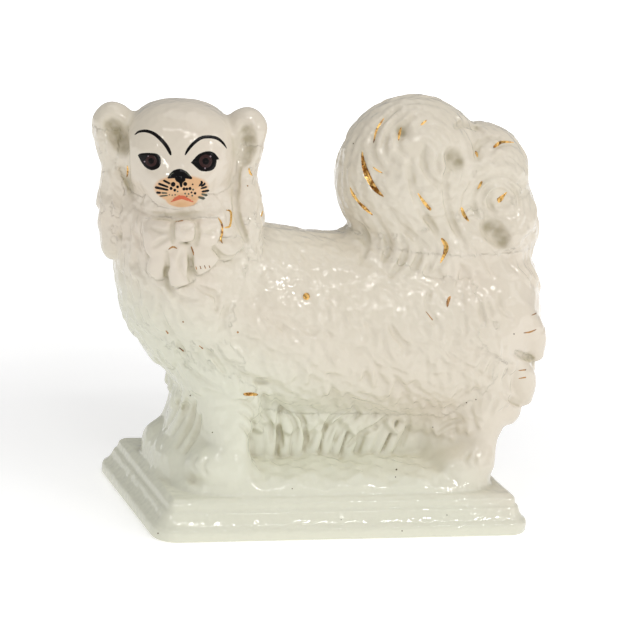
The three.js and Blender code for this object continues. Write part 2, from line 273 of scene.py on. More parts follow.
# The bow under the chin: how far each lobe stands out, and its knots of pixel, half width and
# half thickness. The loops, the fold, the knot, the two ribbon ends and the curl. A lobe sinks in
# by a share of its half thickness.
LOBE_SINK = 0.3
BOW = (
    (2.8, ((176, 232, 4.6, 3.0), (166, 235, 7.4, 3.6), (154, 239, 8.6, 3.2), (148, 240, 8.2, 2.6))),
    (2.8, ((192, 232, 4.4, 3.0), (202, 233, 6.0, 3.6), (213, 235, 6.8, 3.0))),
    (2.0, ((216, 248, 3.0, 2.2), (227, 251, 5.0, 3.0), (237, 245, 3.2, 2.4))),
    (4.2, ((179, 232, 4.6, 3.0), (184, 232, 5.4, 3.4), (190, 233, 4.6, 3.0))),
    (2.4, ((180, 246, 3.4, 2.2), (177, 262, 5.2, 2.4), (181, 283, 5.6, 2.0))),
    (2.0, ((168, 253, 3.0, 2.2), (159, 263, 5.0, 2.6), (155, 273, 4.6, 2.2))),
    (2.4, ((191, 246, 3.2, 2.2), (200, 257, 5.8, 2.6), (208, 266, 6.8, 2.0))),
)
BOW_GROOVES = (
    (2.2, 1.4, ((172, 223), (171, 235), (173, 245))),
    (2.2, 1.4, ((196, 223), (197, 235), (195, 246))),
    (2.0, 1.1, ((149, 228), (160, 233), (169, 232))),
    (2.0, 1.0, ((152, 248), (161, 242), (169, 237))),
    (2.0, 1.1, ((200, 232), (210, 234), (217, 228))),
    (1.8, 0.8, ((178, 227), (184, 230), (190, 227))),
    (2.0, 1.0, ((181, 252), (179, 264), (184, 278))),
    (2.4, 1.4, ((189, 247), (190, 262), (190, 280), (198, 289))),
    (2.2, 1.2, ((166, 254), (166, 268), (167, 282))),
    (2.2, 1.2, ((213, 248), (222, 258), (233, 259), (241, 252))),
)

# The painted face. A stroke has knots of pixel and width, and a patch has its outline's pixels.
BROWS = (
    ((133.1, 136.7, 0.4), (137.7, 133.1, 1.1), (145.2, 132.2, 1.5), (153.5, 135.2, 1.7),
     (161, 141.8, 1.8), (166.8, 149.3, 1.8), (170.6, 157.7, 1.5)),
    ((183.5, 157.5, 1.0), (187.7, 150.2, 1.5), (194.3, 143.1, 1.6), (201, 138.9, 1.6),
     (209.3, 138.1, 1.6), (216.8, 139.8, 1.5), (222.7, 144.8, 1.1), (226.7, 150.6, 0.4)),
)
EYES = (
    ((136.6, 156.4), (138.5, 154.5), (143.9, 153.8), (151, 153.9), (156.8, 155), (159.8, 158.5),
     (160.3, 163.5), (158.9, 168.5), (155.2, 171), (150.2, 171.7), (145.2, 169.3), (141.4, 165.2),
     (138.5, 160.2)),
    ((189.3, 163.9), (192.7, 160.2), (196.8, 155.6), (202.7, 152.8), (208.5, 152), (212.7, 153.1),
     (216, 156), (218.8, 160.2), (216.4, 160.6), (216, 164.3), (214.3, 169.3), (210.2, 172.3),
     (204.3, 173.1), (199.3, 172.3), (195.2, 169.3), (191.8, 166)),
)
IRISES = ((150.4, 162.2, 6.4), (204.8, 162.4, 7.4))
PUPIL_SHARE = 0.55
# Painted glints of light on the eyes: pixel and width in millimetres.
PAINTED_EYE_GLINTS = ((143.9, 162.7, 0.8), (147.4, 157.3, 0.6), (204, 169.4, 0.8), (209.5, 157.6, 0.9))
NOSE = (
    (166, 179.3), (168.1, 175.6), (171.8, 171.8), (176.8, 170), (181, 170.2), (186, 172.7),
    (189.8, 176.8), (191.8, 179.3), (190.2, 180.6), (187.3, 179.3), (184.3, 177.3), (184.7, 181.8),
    (181.8, 184.3), (181.4, 188.5), (179.3, 188.5), (178.1, 184.3), (175.2, 182.7), (173.1, 178.5),
    (171.8, 176), (167.7, 179.8),
)
# Painted sheen on the black nose: pale grey strokes of pixel and width.
NOSE_SHINE = (
    ((173.5, 173.2, 0.3), (170.4, 175.6, 0.45), (167.9, 178.6, 0.3)),
    ((182.8, 172.6, 0.3), (186.4, 175.1, 0.45), (189.6, 178.6, 0.3)),
)
WHISKERS = (
    ((161.7, 181.2, 0.8), (169.8, 185.3, 0.8)), ((156.7, 184.5, 0.9), (168.1, 188.7, 0.7)),
    ((153.3, 188.3, 1.0), (168.1, 191.4, 0.7)), ((154.8, 193.7, 0.9), (160.5, 194.1, 0.8)),
    ((199.8, 181.8, 0.7), (201, 184.3, 0.9), (197.3, 188.1, 0.6)),
    ((203.5, 183.5, 0.6), (203.5, 185.6, 0.8), (199.3, 188.1, 0.5)),
    ((206.8, 187.7, 0.8), (199.3, 190, 0.6)), ((208.9, 191.4, 0.9), (200.2, 193.1, 0.7)),
)
FAINT_WHISKERS = (
    ((160, 194.1, 0.8), (167, 194.4, 0.5)), ((158.1, 197.5, 0.7), (167.7, 196.5, 0.5)),
    ((200, 195, 0.8), (207.2, 196.6, 1.0)), ((196.5, 198, 0.9), (204.5, 199.8, 1.2)),
)
DOTS = (
    (172.3, 185.6, 1.6), (176.7, 188.1, 1.0), (170.2, 189.6, 1.1), (173.9, 191.4, 1.0),
    (184.3, 185.2, 1.4), (183.1, 190.2, 1.1), (186, 190.2, 1.0), (189.1, 189.8, 1.1),
    (191.8, 185.6, 0.6), (190.6, 193.7, 0.7), (194.2, 194.5, 0.9),
)
FAINT_DOTS = (
    (176.7, 192.7, 0.7), (171.4, 196.4, 0.6), (174.3, 196, 0.6), (168.5, 196, 0.5),
    (192.2, 190.8, 0.8), (184.3, 194.8, 0.7), (187.7, 195.2, 0.7), (191.4, 196.8, 0.7),
    (186, 197.5, 0.6),
)
MOUTH = (
    (169.3, 203.5), (172.7, 199.3), (176.8, 196.7), (179.3, 196.3), (183.5, 196.8), (187.7, 199.3),
    (192.7, 202.3), (191.8, 203.5), (186, 201.4), (182.7, 200.2), (179.3, 199.5), (176, 201),
    (172.7, 202.3),
)
# The peach-coloured muzzle and lower lip: each oval's middle pixel and half sizes in millimetres.
PEACH = (((181, 191.5), (13.4, 7.2)), ((181, 202.5), (7.6, 3.5)))
PEACH_DEPTH = 20.0

# Paint is a thin shell: how far its rim stands out, and how far its underside is sunk in.
EDGE, SINK = 0.03, 0.35
# How far the middle of each kind of mark stands out.
LIFT = {
    "paint": 0.12, "eye": 0.14, "whisker": 0.16, "nose": 0.16, "iris": 0.22, "pupil": 0.3,
    "painted eye glint": 0.36, "thin": 0.2, "mouth": 0.1, "gilt": 0.2, "bead": 0.9, "worn": 0.14,
}
# How much wider a mark is than it shows, because its rim sinks in.
BOLD, BROW_SWELL, WHISKER_SWELL, DOT_SWELL = 1.35, 1.2, 1.6, 1.5
# A stroke's fewest links and their length in pixels, its least width, the places of its lines
# across it, how blunt its ends are in plan and in height, and the width that its ends keep.
STROKE_LINKS, STROKE_LINK, STROKE_WIDTH = 5, 1.4, 0.3
STROKE_LINES = (-1, -0.55, 0, 0.55, 1)
BLUNT_PLAN, BLUNT_HEIGHT, END_WIDTH = 12, 8, 0.002
# A patch's rings as shares of its outline, how steep its rim is, its links to a point of the
# outline, and the points round a dot.
RINGS, RIM_STEEP, OUTLINE_LINKS, DOT_POINTS = (1.0, 0.9, 0.7, 0.45, 0.2, 0.02), 10, 3, 8

# Gilt strokes, and others worn down to brown: knots of pixel and width.
GILT = (
    ((384, 118, 0.4), (376.5, 130, 0.9), (373, 144, 0.4)),
    ((401, 127, 0.4), (399, 135, 1.0), (398, 142, 0.4)),
    ((361.5, 151, 0.5), (363, 163, 1.6), (367, 176, 2.3), (374.5, 189, 1.9), (384, 198, 0.5)),
    ((372, 167, 0.3), (377, 171, 0.7), (383, 174, 0.3)),
    ((349.5, 187, 0.4), (353, 195, 1.2), (358, 202, 1.0), (365, 209, 1.3), (373, 216, 0.5)),
    ((417, 193, 0.4), (424, 203, 1.3), (431, 211, 1.1)),
    ((441, 238, 0.9), (446, 248, 1.9), (440, 264, 0.6)),
    ((461, 207, 0.8), (464, 215, 1.4), (469, 222, 0.6)),
    ((482, 181, 0.9), (479.5, 186, 1.0), (477, 190, 0.4)),
    ((497, 201, 1.6), (500, 199.5, 1.9), (507, 192, 0.4)),
    ((493, 148, 0.9), (498, 144, 1.4), (503, 142, 1.0), (516, 142.5, 0.3)),
    ((475, 151, 0.6), (476.5, 154, 1.0), (477.5, 158, 0.5)),
    ((420, 126, 0.4), (423, 123.5, 0.9), (427, 120, 0.4)),
    ((242, 395, 0.8), (250, 394.6, 1.5), (258, 395.2, 0.7)),
    ((225, 211, 0.4), (229.5, 212, 0.8), (230.5, 217, 0.9), (229, 227, 0.9), (223, 228.5, 0.6)),
    ((217, 218, 0.4), (221, 225, 0.8), (221.5, 234, 0.8), (220, 240, 0.8), (222, 245, 0.4)),
    ((248, 168, 0.4), (249, 173, 0.9), (252, 177, 0.5)), ((262.5, 211, 0.4), (260.5, 218, 0.8)),
    ((126.5, 166, 0.3), (127, 172, 0.8), (126, 179, 0.3)),
)
GILT_BEAD = (306, 297, 3.5)
WORN_GILT = (
    ((450.5, 296, 0.7), (448, 301, 1.4), (447, 308, 0.5)), ((425, 311, 0.3), (433, 321, 0.6)),
    ((165, 331, 0.4), (168, 335, 0.8)), ((182, 322, 0.6), (183, 323.5, 0.6)),
    ((236.5, 332, 0.8), (238, 334, 0.8)), ((178, 348, 0.4), (184, 352.5, 0.6)),
    ((198, 346, 0.3), (203, 350, 0.6)), ((167, 251, 0.3), (172, 248, 0.8), (177, 250, 0.3)),
    ((190, 247, 0.5), (192, 252, 0.7), (193, 257, 0.4)), ((174, 223, 0.3), (183, 221.5, 0.6)),
    ((195, 267, 0.3), (196, 271, 0.5)), ((199, 266.5, 0.3), (200.5, 270.5, 0.5)),
    ((203.5, 266, 0.3), (205, 270, 0.5)), ((208, 266, 0.3), (209.5, 269.5, 0.5)),
    ((531, 315.5, 0.3), (537, 313, 0.6)), ((523, 333, 0.3), (530, 332, 0.7), (537, 329, 0.3)),
    ((518, 370.5, 0.3), (527, 369.5, 0.7)), ((518, 378.5, 0.3), (527, 377, 0.7)),
    ((246.5, 186, 0.6), (247.5, 187.5, 0.6)),
)

# Specks in the glaze: the pixel where one shows, and its width.
SPECKS = (
    (157.5, 534, 0.7), (402, 531, 0.7), (396.5, 469.5, 0.9), (395.5, 477, 0.6), (433, 427, 0.6),
    (466.5, 402.5, 0.7), (476, 399.5, 0.6), (341, 520, 0.5), (190, 396, 0.7), (212, 433, 0.6),
    (514, 334, 0.7), (292, 489, 0.6), (353, 144, 0.6), (447, 515, 0.6),
)

# Enamels: their colours in linear light, and how much lighter they get where they are thin.
ENAMELS = {
    "black_enamel": ((0.004, 0.003, 0.003), 0.004),
    "brown_enamel": ((0.028, 0.006, 0.005), 0.03),
    # Lilac dots paint glints of light on the eyes.
    "eye_glint_enamel": ((0.26, 0.19, 0.22), 0.05),
    # Grey for faint whiskers and dots, and for the painted sheen on the nose.
    "grey_enamel_and_nose_sheen": ((0.08, 0.085, 0.055), 0.04),
    "orange_enamel": ((0.60, 0.12, 0.045), 0.05),
    "specks": ((0.10, 0.06, 0.03), 0.02),
}
# Gilt: its colour where it is worn and where it is bright, and its roughness. Then how much
# rougher it gets in places.
GILDINGS = {
    "gilding": ((0.26, 0.10, 0.02), (0.90, 0.56, 0.18), 0.2),
    "worn_gilding": ((0.16, 0.07, 0.03), (0.50, 0.28, 0.11), 0.35),
}
GILT_SPREAD = 0.2

# The glaze: two ivories, warmer patches, green low down, buff pools that also paint shade into creases,
# painted brown shade in hollows, peach muzzle.
IVORY, IVORY_PALE, WARM = (0.71, 0.64, 0.52), (0.77, 0.715, 0.60), (0.77, 0.65, 0.55)
GREEN, POOLED_AND_SHADED, HOLLOW_SHADE_TONE = (0.745, 0.75, 0.62), (0.52, 0.475, 0.33), (0.34, 0.29, 0.17)
PEACH_TONE = (0.75, 0.46, 0.25)
# Ramps: two values, and the shares that they turn into. The green one has heights in metres.
WARM_RAMP, POOL_AND_SHADE_RAMP, GREEN_RAMP = (0.4, 0.75, 0, 0.4), (0.16, 0.85, 0, 0.72), (0.035, 0.085, 0.85, 0)
PATCHY_RAMP, HOLLOW_SHADE_RAMP, OVAL_RAMP = (0.3, 0.65, 0.6, 1), (0.1, 1, 0, 0.8), (0.86, 1.04, 1, 0)
WEAR_RAMP, ROUGH_RAMP, WAVY_RAMP = (0.36, 0.58), (0.3, 0.7), (0, 1, 0.45, 1)
# The green comes up higher to the front: its share of the way to the tail.
GREEN_SLOPE = 0.5
# Pools and painted shade in creases: the distances at which clay is looked for, and the most
# that one counts.
POOL_AND_SHADE_REACHES, POOL_AND_SHADE_MOST = (1.3, 2.6, 6.0), 1.4
# The shade of a hollow: its strength at the middle, and how much wider than the hollow it is.
PIT_SHADE, PIT_WIDER = 1.3, 1.25
# Noises: their scale and their detail.
NOISES = {
    "enamel tone": (900, 3), "enamel ripple": (700, 2), "gilt wear": (420, 3), "gilt": (500, 2),
    "ivory": (22, 2), "warm": (9, 2), "patchy": (130, 2), "ripple": (175, 1), "hair": (60, 2.5),
    "fine ripple": (400, 1),
}
# Bumps: their height in metres and their strength.
RIPPLE, HAIR_LINES, FINE_RIPPLE = (0.0038, 0.45), (0.0005, 0.6), (0.00012, 0.4)
ENAMEL_RIPPLE, GILT_RIPPLE = (0.0001, 0.4), (0.0003, 0.6)
# Hair lines finer than the locks: their slant in degrees, and their shares of the grain.
HAIR_SLANT, HAIR_GRAIN = -40.0, (0.16, 0.35, 1.0)

# The floor's corners, its tone and roughness, its painted glow near and far (dimmer by the figure,
# brighter away from it), the surround, the point that the lights aim at, and the lights, in metres and
# watts.
FLOOR = ((-1.7, -0.55), (1.9, 2.8))
FLOOR_TONE, FLOOR_ROUGH = 0.9, 0.7
FLOOR_GLOW, GLOW_REACH = (0.36, 0.85), (0.1, 0.8)
SURROUND = 0.36
LIGHT_AIM = (0, 0, 0.1)
CAMERA_CLIP = (0.05, 30)
LIGHTS = (
    ("strip_front", (0.3, -0.95, 1.05), (1.5, 0.02), 5.6),
    ("strip_left", (-0.95, -0.9, 0.6), (0.02, 0.4), 1.1),
    ("strip_right", (0.9, -1.2, 0.45), (0.02, 0.4), 1.1),
    ("strip_high", (-0.5, -0.7, 1.25), (0.6, 0.015), 1.6),
    ("box_over", (0.2, 0.1, 1.7), (1.4, 1.0), 3.8),
    ("box_right", (1.4, -0.9, 0.9), (0.8, 0.9), 2.6),
)

# Locks of hair: their half width, length, height and spacing, on the coat, the tail and the ears.
COAT_LOCKS = (2.5, 13.0, 3.1, 4.4)
TAIL_LOCKS = (2.4, 22.0, 2.6, 4.7)
EAR_LOCKS = (2.4, 13.0, 2.3, 4.4)
# The least and most of their random length and height, and the steps along one.
LENGTH_SPREAD, HEIGHT_SPREAD, LOCK_STEPS = (0.75, 1.25), (0.7, 1.2), 6
# A lock's shares of width and height at its root, where its belly is, how blunt its tip is in
# width and in height, how round its back is, its least width, and how far its steps run together.
ROOT_WIDTH, ROOT_HEIGHT, BELLY = 0.5, 0.25, 0.8
TIP_WIDTH, TIP_HEIGHT, LOCK_ROUND = 6, 10, 0.8
LOCK_LEAST, LOCK_ROOM, LOCK_OVERLAP = 0.05, 0.5, 0.08
# The middles that the tail's hair swirls round, how far the curl reaches and over what it fades,
# and the height below which the tail's hair hangs, with the height over which it turns.
PLUME_SWIRL, CURL_SWIRL = (25, 181), (70, 161)
CURL_REACH, CURL_FADE = 27.0, 4
HANG_HEIGHT, HANG_FADE = 160, 16
# The slant of the coat's hair from straight down towards the tail, along the body.
SLANT = ((-110, 30), (-80, 42), (-50, 46), (-20, 38), (20, 34), (50, 22), (75, 6), (105, -6))
# The waves in it, in radians: height, then radians to a millimetre along x, y and z, then start.
COAT_WAVES = ((0.42, (0.17, 0.1, 0.33), 0), (0.25, (0.21, 0, -0.13), 2))
TAIL_LEAN, TAIL_WAVES = 0.35, ((0.6, (0.1, 0, 0.3), 0),)
EAR_LEAN, EAR_WAVES = 0.15, ((0.6, (0.2, 0, 0.42), 0),)
# The coat's height low on the flank and on the chest is full, and on the back it is a share.
FLANK_TOP, FLANK_FADE, CHEST_BACK, CHEST_FADE, BACK_SHARE = 128, 30, -70, 20, 0.45
# Hair stays this clear of the head, an ear, the bow and the tail.
CLEAR_OF_HEAD, CLEAR_OF_EAR, CLEAR_OF_BOW, CLEAR_OF_TAIL = 2.0, 1.5, 1.0, 1.5
# It grows this far round the trunk, the tail and an ear, and above or below these heights.
TRUNK_REACH, TAIL_REACH, EAR_REACH = 3.5, 2.5, 1.6
COAT_BOTTOM, TAIL_BOTTOM, EAR_TOP = 52, 136, 186


def unit(vectors):
    vectors = np.asarray(vectors, float)
    return vectors / np.maximum(np.linalg.norm(vectors, axis=-1, keepdims=True), LEAST_LENGTH)


def view_axes():
    """The picture's right, up and back directions in the photo's view."""
    turn, rise, roll = (math.radians(angle) for angle in (AZIMUTH, ELEVATION, ROLL))
    level = np.array((math.cos(turn), math.sin(turn), 0.0))
    back = np.array((math.sin(turn) * math.cos(rise), -math.cos(turn) * math.cos(rise), math.sin(rise)))
    upright = unit(np.cross(back, level))
    right = level * math.cos(roll) + upright * math.sin(roll)
    return right, upright * math.cos(roll) - level * math.sin(roll), back


RIGHT, UP, BACK = view_axes()


def rays(pixels):
    """The view's eye, and the directions from it through pixels of the photo."""
    pixels = np.asarray(pixels, float)
    across = (pixels[..., 0] - AIM_PIXEL[0]) * MM_PER_PIXEL / DISTANCE
    down = (pixels[..., 1] - AIM_PIXEL[1]) * MM_PER_PIXEL / DISTANCE
    return AIM + BACK * DISTANCE, unit(across[..., None] * RIGHT - down[..., None] * UP - BACK)


def curve(rows, count):
    """count + 1 rows on a smooth curve through rows. Sizes in further columns go along."""
    rows = np.array(rows, float)
    rows = np.vstack((2 * rows[0] - rows[1], rows, 2 * rows[-1] - rows[-2]))
    place = np.linspace(0, len(rows) - 3, count + 1)
    first = np.minimum(place.astype(int), len(rows) - 4)
    part = (place - first)[:, None]
    before, start, end, after = (rows[first + step] for step in range(4))
    square = (2 * before - 5 * start + 4 * end - after) * part ** 2
    cube = (3 * start - before - 3 * end + after) * part ** 3
    return 0.5 * (2 * start + (end - before) * part + (square + cube))


def smooth_min(first, second, blend):
    """The smaller of two distances, rounded off where they are within blend of each other."""
    overlap = np.maximum(blend - np.abs(first - second), 0) / blend
    return np.minimum(first, second) - overlap * overlap * (blend * 0.25)


class Clay:
    """A block of clay: a grid of signed distances, negative inside."""

    def __init__(self, low, high, step):
        self.low, self.step = np.array(low, float), step
        counts = np.ceil((np.array(high) - self.low) / step).astype(int) + 1
        self.lines = [
            (self.low[i] + np.arange(counts[i]) * step).astype(np.float32) for i in range(3)
        ]
        self.field = np.full(counts, FAR, np.float32)

    def window(self, low, high):
        """The slices of the grid in a box, and its points there as three open arrays."""
        slices = []
        for i in range(3):
            first = np.floor((low[i] - self.low[i]) / self.step)
            last = np.ceil((high[i] - self.low[i]) / self.step) + 1
            first, last = np.clip((first, last), 0, len(self.lines[i])).astype(int)
            slices.append(slice(first, max(first, last)))
        return tuple(slices), self.points(slices)

    def points(self, slices):
        x, y, z = (line[part] for line, part in zip(self.lines, slices))
        return x[:, None, None], y[None, :, None], z[None, None, :]

    def stamp(self, form, blend):
        """The slices of the grid that a form can reach, and its distances there."""
        reach = blend + SPARE_CELLS * self.step
        slices, points = self.window(form.low - reach, form.high + reach)
        if isinstance(form, Strand):
            return slices, form.stamp(self, slices, reach)
        return slices, form.at(points)

    def add(self, form, blend):
        slices, value = self.stamp(form, blend)
        self.field[slices] = smooth_min(self.field[slices], value, blend)

    def cut(self, form, blend):
        slices, value = self.stamp(form, blend)
        self.field[slices] = -smooth_min(-self.field[slices], value, blend)

    def sample(self, points):
        """The field at points between the grid's own."""
        places = (np.asarray(points, float) - self.low) / self.step
        places = np.clip(places, 0, np.array(self.field.shape) - LAST_LINE)
        corner = places.astype(int)
        part = places - corner
        total = 0
        for step in np.ndindex(2, 2, 2):
            weight = np.prod(np.where(step, part, 1 - part), -1)
            at = corner + step
            total = total + weight * self.field[at[..., 0], at[..., 1], at[..., 2]]
        return total

    def normals(self, points):
        """The directions out of the clay at points."""
        slopes = [
            self.sample(points + shift) - self.sample(points - shift)
            for shift in np.eye(3) * self.step
        ]
        return unit(np.stack(slopes, -1))

    def settle(self, points):
        """Points moved onto the surface."""
        for _ in range(SETTLE_ROUNDS):
            gap = np.clip(self.sample(points), -MARGIN, MARGIN)
            points = points - self.normals(points) * gap[..., None]
        return points

    def skin(self, pixels):
        """The points of the surface that show at pixels of the photo."""
        eye, ways = rays(pixels)
        points = eye + ways * (DISTANCE - RAY_START)
        for _ in range(RAY_STEPS):
            gap = np.clip(self.sample(points), *STEP_LIMITS)
            points = points + ways * gap[..., None] * STEP_SHARE
        return points


def blurred(values):
    """Values on a grid, each mixed with its neighbours."""
    for axis in range(3):
        values = np.swapaxes(values, 0, axis)
        mixed = values.copy()
        mixed[1:-1] = values[1:-1] * 0.5 + (values[:-2] + values[2:]) * 0.25
        values = np.swapaxes(mixed, 0, axis)
    return values


class Egg:
    """An ellipsoid, boxier where power is over 2."""

    def __init__(self, middle, half, axes=np.eye(3), power=2.0):
        self.middle, self.half = np.array(middle, float), np.array(half, float)
        self.axes, self.power = axes, power
        reach = np.abs(self.axes) @ self.half
        self.low, self.high = self.middle - reach, self.middle + reach

    def at(self, points):
        offset = [points[i] - np.float32(self.middle[i]) for i in range(3)]
        local = [
            np.abs(sum(np.float32(self.axes[j, i]) * offset[j] for j in range(3)))
            for i in range(3)
        ]
        power, half = self.power, self.half
        scale = sum((local[i] / half[i]) ** power for i in range(3)) ** (1 / power)
        scale = np.maximum(scale, EGG_SCALE)
        slope = np.sqrt(sum((local[i] ** (power - 1) / half[i] ** power) ** 2 for i in range(3)))
        slope = np.maximum(slope * scale ** (1 - power), EGG_SLOPE / max(half))
        return ((scale - 1) / slope).astype(np.float32)


class Strand:
    """A limb with an oval section that follows knots: x, y, z, half width, half thickness."""

    def __init__(self, knots, up=(0, 0, 1), count=None):
        self.rows = curve(knots, count or LINKS_TO_KNOT * (len(knots) - 1))
        self.up = np.array(up, float)
        places, sizes = self.rows[:, :3], self.rows[:, 3:].max(1, keepdims=True)
        self.low, self.high = (places - sizes).min(0), (places + sizes).max(0)

    def links(self):
        return zip(self.rows[:-1], self.rows[1:])

    def link(self, start, end, points):
        """Distances of points to the link between two rows."""
        axis = end[:3] - start[:3]
        length = max(np.linalg.norm(axis), LEAST_LENGTH)
        axis = axis / length
        side = unit(np.cross(self.up, axis))
        lift = np.cross(axis, side)
        offset = [points[i] - np.float32(start[i]) for i in range(3)]
        along = sum(offset[i] * np.float32(axis[i]) for i in range(3))
        part = np.clip(along / np.float32(length), 0, 1)
        past = along - part * np.float32(length)
        across = sum(offset[i] * np.float32(side[i]) for i in range(3))
        out = sum(offset[i] * np.float32(lift[i]) for i in range(3))
        wide = np.float32(start[3]) + part * np.float32(end[3] - start[3])
        thick = np.float32(start[4]) + part * np.float32(end[4] - start[4])
        cap = np.minimum(wide, thick)
        scale = np.sqrt((across / wide) ** 2 + (out / thick) ** 2 + (past / cap) ** 2)
        slope = np.sqrt((across / wide ** 2) ** 2 + (out / thick ** 2) ** 2 + (past / cap ** 2) ** 2)
        return (scale * (scale - 1) / np.maximum(slope, LEAST_SLOPE)).astype(np.float32)

    def at(self, points):
        return np.minimum.reduce([self.link(*ends, points) for ends in self.links()])

    def stamp(self, clay, slices, reach):
        """Distances in slices of the clay's grid, worked out only near each link."""
        value = np.full([whole.stop - whole.start for whole in slices], FAR, np.float32)
        for start, end in self.links():
            size = max(start[3:].max(), end[3:].max()) + reach
            low = np.minimum(start[:3], end[:3]) - size
            high = np.maximum(start[:3], end[:3]) + size
            near = [
                slice(max(part.start, whole.start), min(part.stop, whole.stop))
                for part, whole in zip(clay.window(low, high)[0], slices)
            ]
            if any(part.stop <= part.start for part in near):
                continue
            local = tuple(
                slice(part.start - whole.start, part.stop - whole.start)
                for part, whole in zip(near, slices)
            )
            value[local] = np.minimum(value[local], self.link(start, end, clay.points(near)))
        return value


class Mound:
    """The ground, as the solid under a rounded bank with a rough top."""

    low = np.array((-GROUND_HALF[0], -GROUND_HALF[1], MOULDING[-1][1] - GROUND_DEPTH))
    high = np.array((GROUND_HALF[0], GROUND_HALF[1], GROUND_MIDDLE + GROUND_HALF[2] + GROUND_ROOM))

    def at(self, points):
        x, y, z = points
        out = sum(np.abs(place / half) ** GROUND_OUTLINE for place, half in zip((x, y), GROUND_HALF))
        out = out ** (1 / GROUND_OUTLINE)
        rise = np.maximum(1 - out ** GROUND_BULGE, 0) ** (1 / GROUND_BULGE)
        rough = np.sin(x / SWELL_LENGTH + SWAY * np.sin(y / SWAY_LENGTH)) * np.cos(y / SWELL_ACROSS)
        for height, first, second in GROUND_WAVES:
            wave = np.sin(x / first[0] + y / first[1]) * np.sin(x / second[0] + y / second[1])
            rough = rough + height * wave
        top = GROUND_MIDDLE + GROUND_HALF[2] * rise
        top = top + GROUND_ROUGH * rough * np.minimum(rise * 2, 1)
        edge = (out - 1) * GROUND_HALF[1]
        return (np.maximum(z - top, edge) * GROUND_STEEP).astype(np.float32)


class Plinth:
    """The stepped plinth, from its outline in plan and its moulding in section."""

    low = np.array((-PLINTH[0] / 2, -PLINTH[1] / 2, 0.0))
    high = np.array((PLINTH[0] / 2, PLINTH[1] / 2, MOULDING[-1][1]))

    def at(self, points):
        x, y, z = points
        across = np.abs(x) - (PLINTH[0] / 2 - PLINTH_CORNER)
        along = np.abs(y) - (PLINTH[1] / 2 - PLINTH_CORNER)
        out = np.hypot(np.maximum(across, 0), np.maximum(along, 0))
        out = out + np.minimum(np.maximum(across, along), 0) - PLINTH_CORNER
        section, depths = self.section(z.ravel())
        place = np.clip((out - depths[0]) / (depths[1] - depths[0]), 0, len(depths) - LAST_LINE)
        first = place.astype(int)
        part = place - first
        layer = np.arange(section.shape[1])[None, None, :]
        low, high = section[first, layer], section[first + 1, layer]
        return (low + (high - low) * part).astype(np.float32)

    def section(self, heights):
        """Distances to the moulding's outline, at depths into the plinth and at heights."""
        depths = np.arange(*SECTION_DEPTHS)
        insets, levels = np.array(MOULDING).T
        top = levels[-1]
        across, up = depths[:, None], heights[None, :]
        corners = [(SECTION_CORE, 0.0), *zip(-insets, levels), (SECTION_CORE, top)]
        nearest = np.full((len(depths), len(heights)), FAR)
        for start, end in zip(corners[:-1], corners[1:]):
            way = (end[0] - start[0], end[1] - start[1])
            along = (across - start[0]) * way[0] + (up - start[1]) * way[1]
            part = np.clip(along / (way[0] ** 2 + way[1] ** 2), 0, 1)
            gap = np.hypot(across - start[0] - part * way[0], up - start[1] - part * way[1])
            nearest = np.minimum(nearest, gap)
        inside = (across < -np.interp(up, levels, insets)) & (up > 0) & (up < top)
        return np.where(inside, -nearest, nearest), depths


def head_axes():
    """The head's side, forward and up directions."""
    yaw, lean = math.radians(HEAD_YAW), math.radians(HEAD_LEAN)
    forward = np.array((math.sin(yaw), -math.cos(yaw), 0.0))
    side = np.array((math.cos(yaw), math.sin(yaw), 0.0))
    side = side * math.cos(lean) + np.cross(forward, side) * math.sin(lean)
    return side, forward, np.cross(side, -forward)


SIDE, FORWARD, CROWN = head_axes()
HEAD_AXES = np.stack((SIDE, FORWARD, CROWN), 1)


def on_head(place):
    """A place in the head's own axes, in the figure's."""
    return HEAD + HEAD_AXES @ np.array(place, float)


def ears():
    """Both ears. A lower part swings a little to the same side in both."""
    for mirror in (-1, 1):
        knots = [
            (*on_head((mirror * side - min(0, up) * EAR_SWAY, forward, up)), wide, thick)
            for side, forward, up, wide, thick in EAR
        ]
        yield Strand(knots, FORWARD)


def rump_tufts():
    """Rows of tufts across the rump, set back towards its sides."""
    for top_x, top_z, end_x, end_z in RUMP_TUFTS:
        places = (
            (top_x - TUFT_INSET, top_z), ((top_x + end_x) / 2, (top_z + end_z) / 2),
            (end_x, end_z + TUFT_INSET),
        )
        for y in TUFT_PLACES:
            back = (y / RUMP_ROUND) ** 2
            knots = [
                (x - back, y, z, TUFT_HALF * wide, TUFT_HALF * thick)
                for (x, z), (wide, thick) in zip(places, TUFT_SHARES)
            ]
            yield Strand(knots, (1, 0, 0))


def blades():
    """Blades of grass on both faces of the bank. Towards the tail they lean more and more."""
    rng = np.random.default_rng(SEED)
    for i in range(BLADES):
        part = i / (BLADES - 1)
        x = BLADE_START + part * (BLADE_END - BLADE_START) + rng.uniform(-BLADE_SHIFT, BLADE_SHIFT)
        lean = FIRST_LEAN + MORE_LEAN * part ** LEAN_DELAY + rng.uniform(-LEAN_SHIFT, LEAN_SHIFT)
        width = rng.uniform(*BLADE_WIDTHS)
        for side in (-1, 1):
            y = GRASS_MIDDLE[1] + side * (GRASS_HALF[1] - BLADE_SINK)
            knots = [
                (x + lean * share, y + side * out, z, width * wide, thick)
                for share, out, z, wide, thick in BLADE_KNOTS
            ]
            yield Strand(knots, (0, 1, 0))


TRUNK_FORMS = [Strand(BODY, count=BODY_LINKS), Strand(CHEST, (1, 0, 0), CHEST_LINKS)]
TAIL_FORMS = [
    Egg(PLUME_MIDDLE, PLUME_HALF), Egg(PLUME_NECK_MIDDLE, PLUME_NECK_HALF),
    Egg(CURL_MIDDLE, CURL_HALF), Egg(TAIL_ROOT_MIDDLE, TAIL_ROOT_HALF),
]
HEAD_FORM = Egg(HEAD, HEAD_HALF, HEAD_AXES, HEAD_POWER)
MUZZLE_FORM = Egg(on_head(MUZZLE), MUZZLE_HALF, HEAD_AXES)
EAR_FORMS = list(ears())


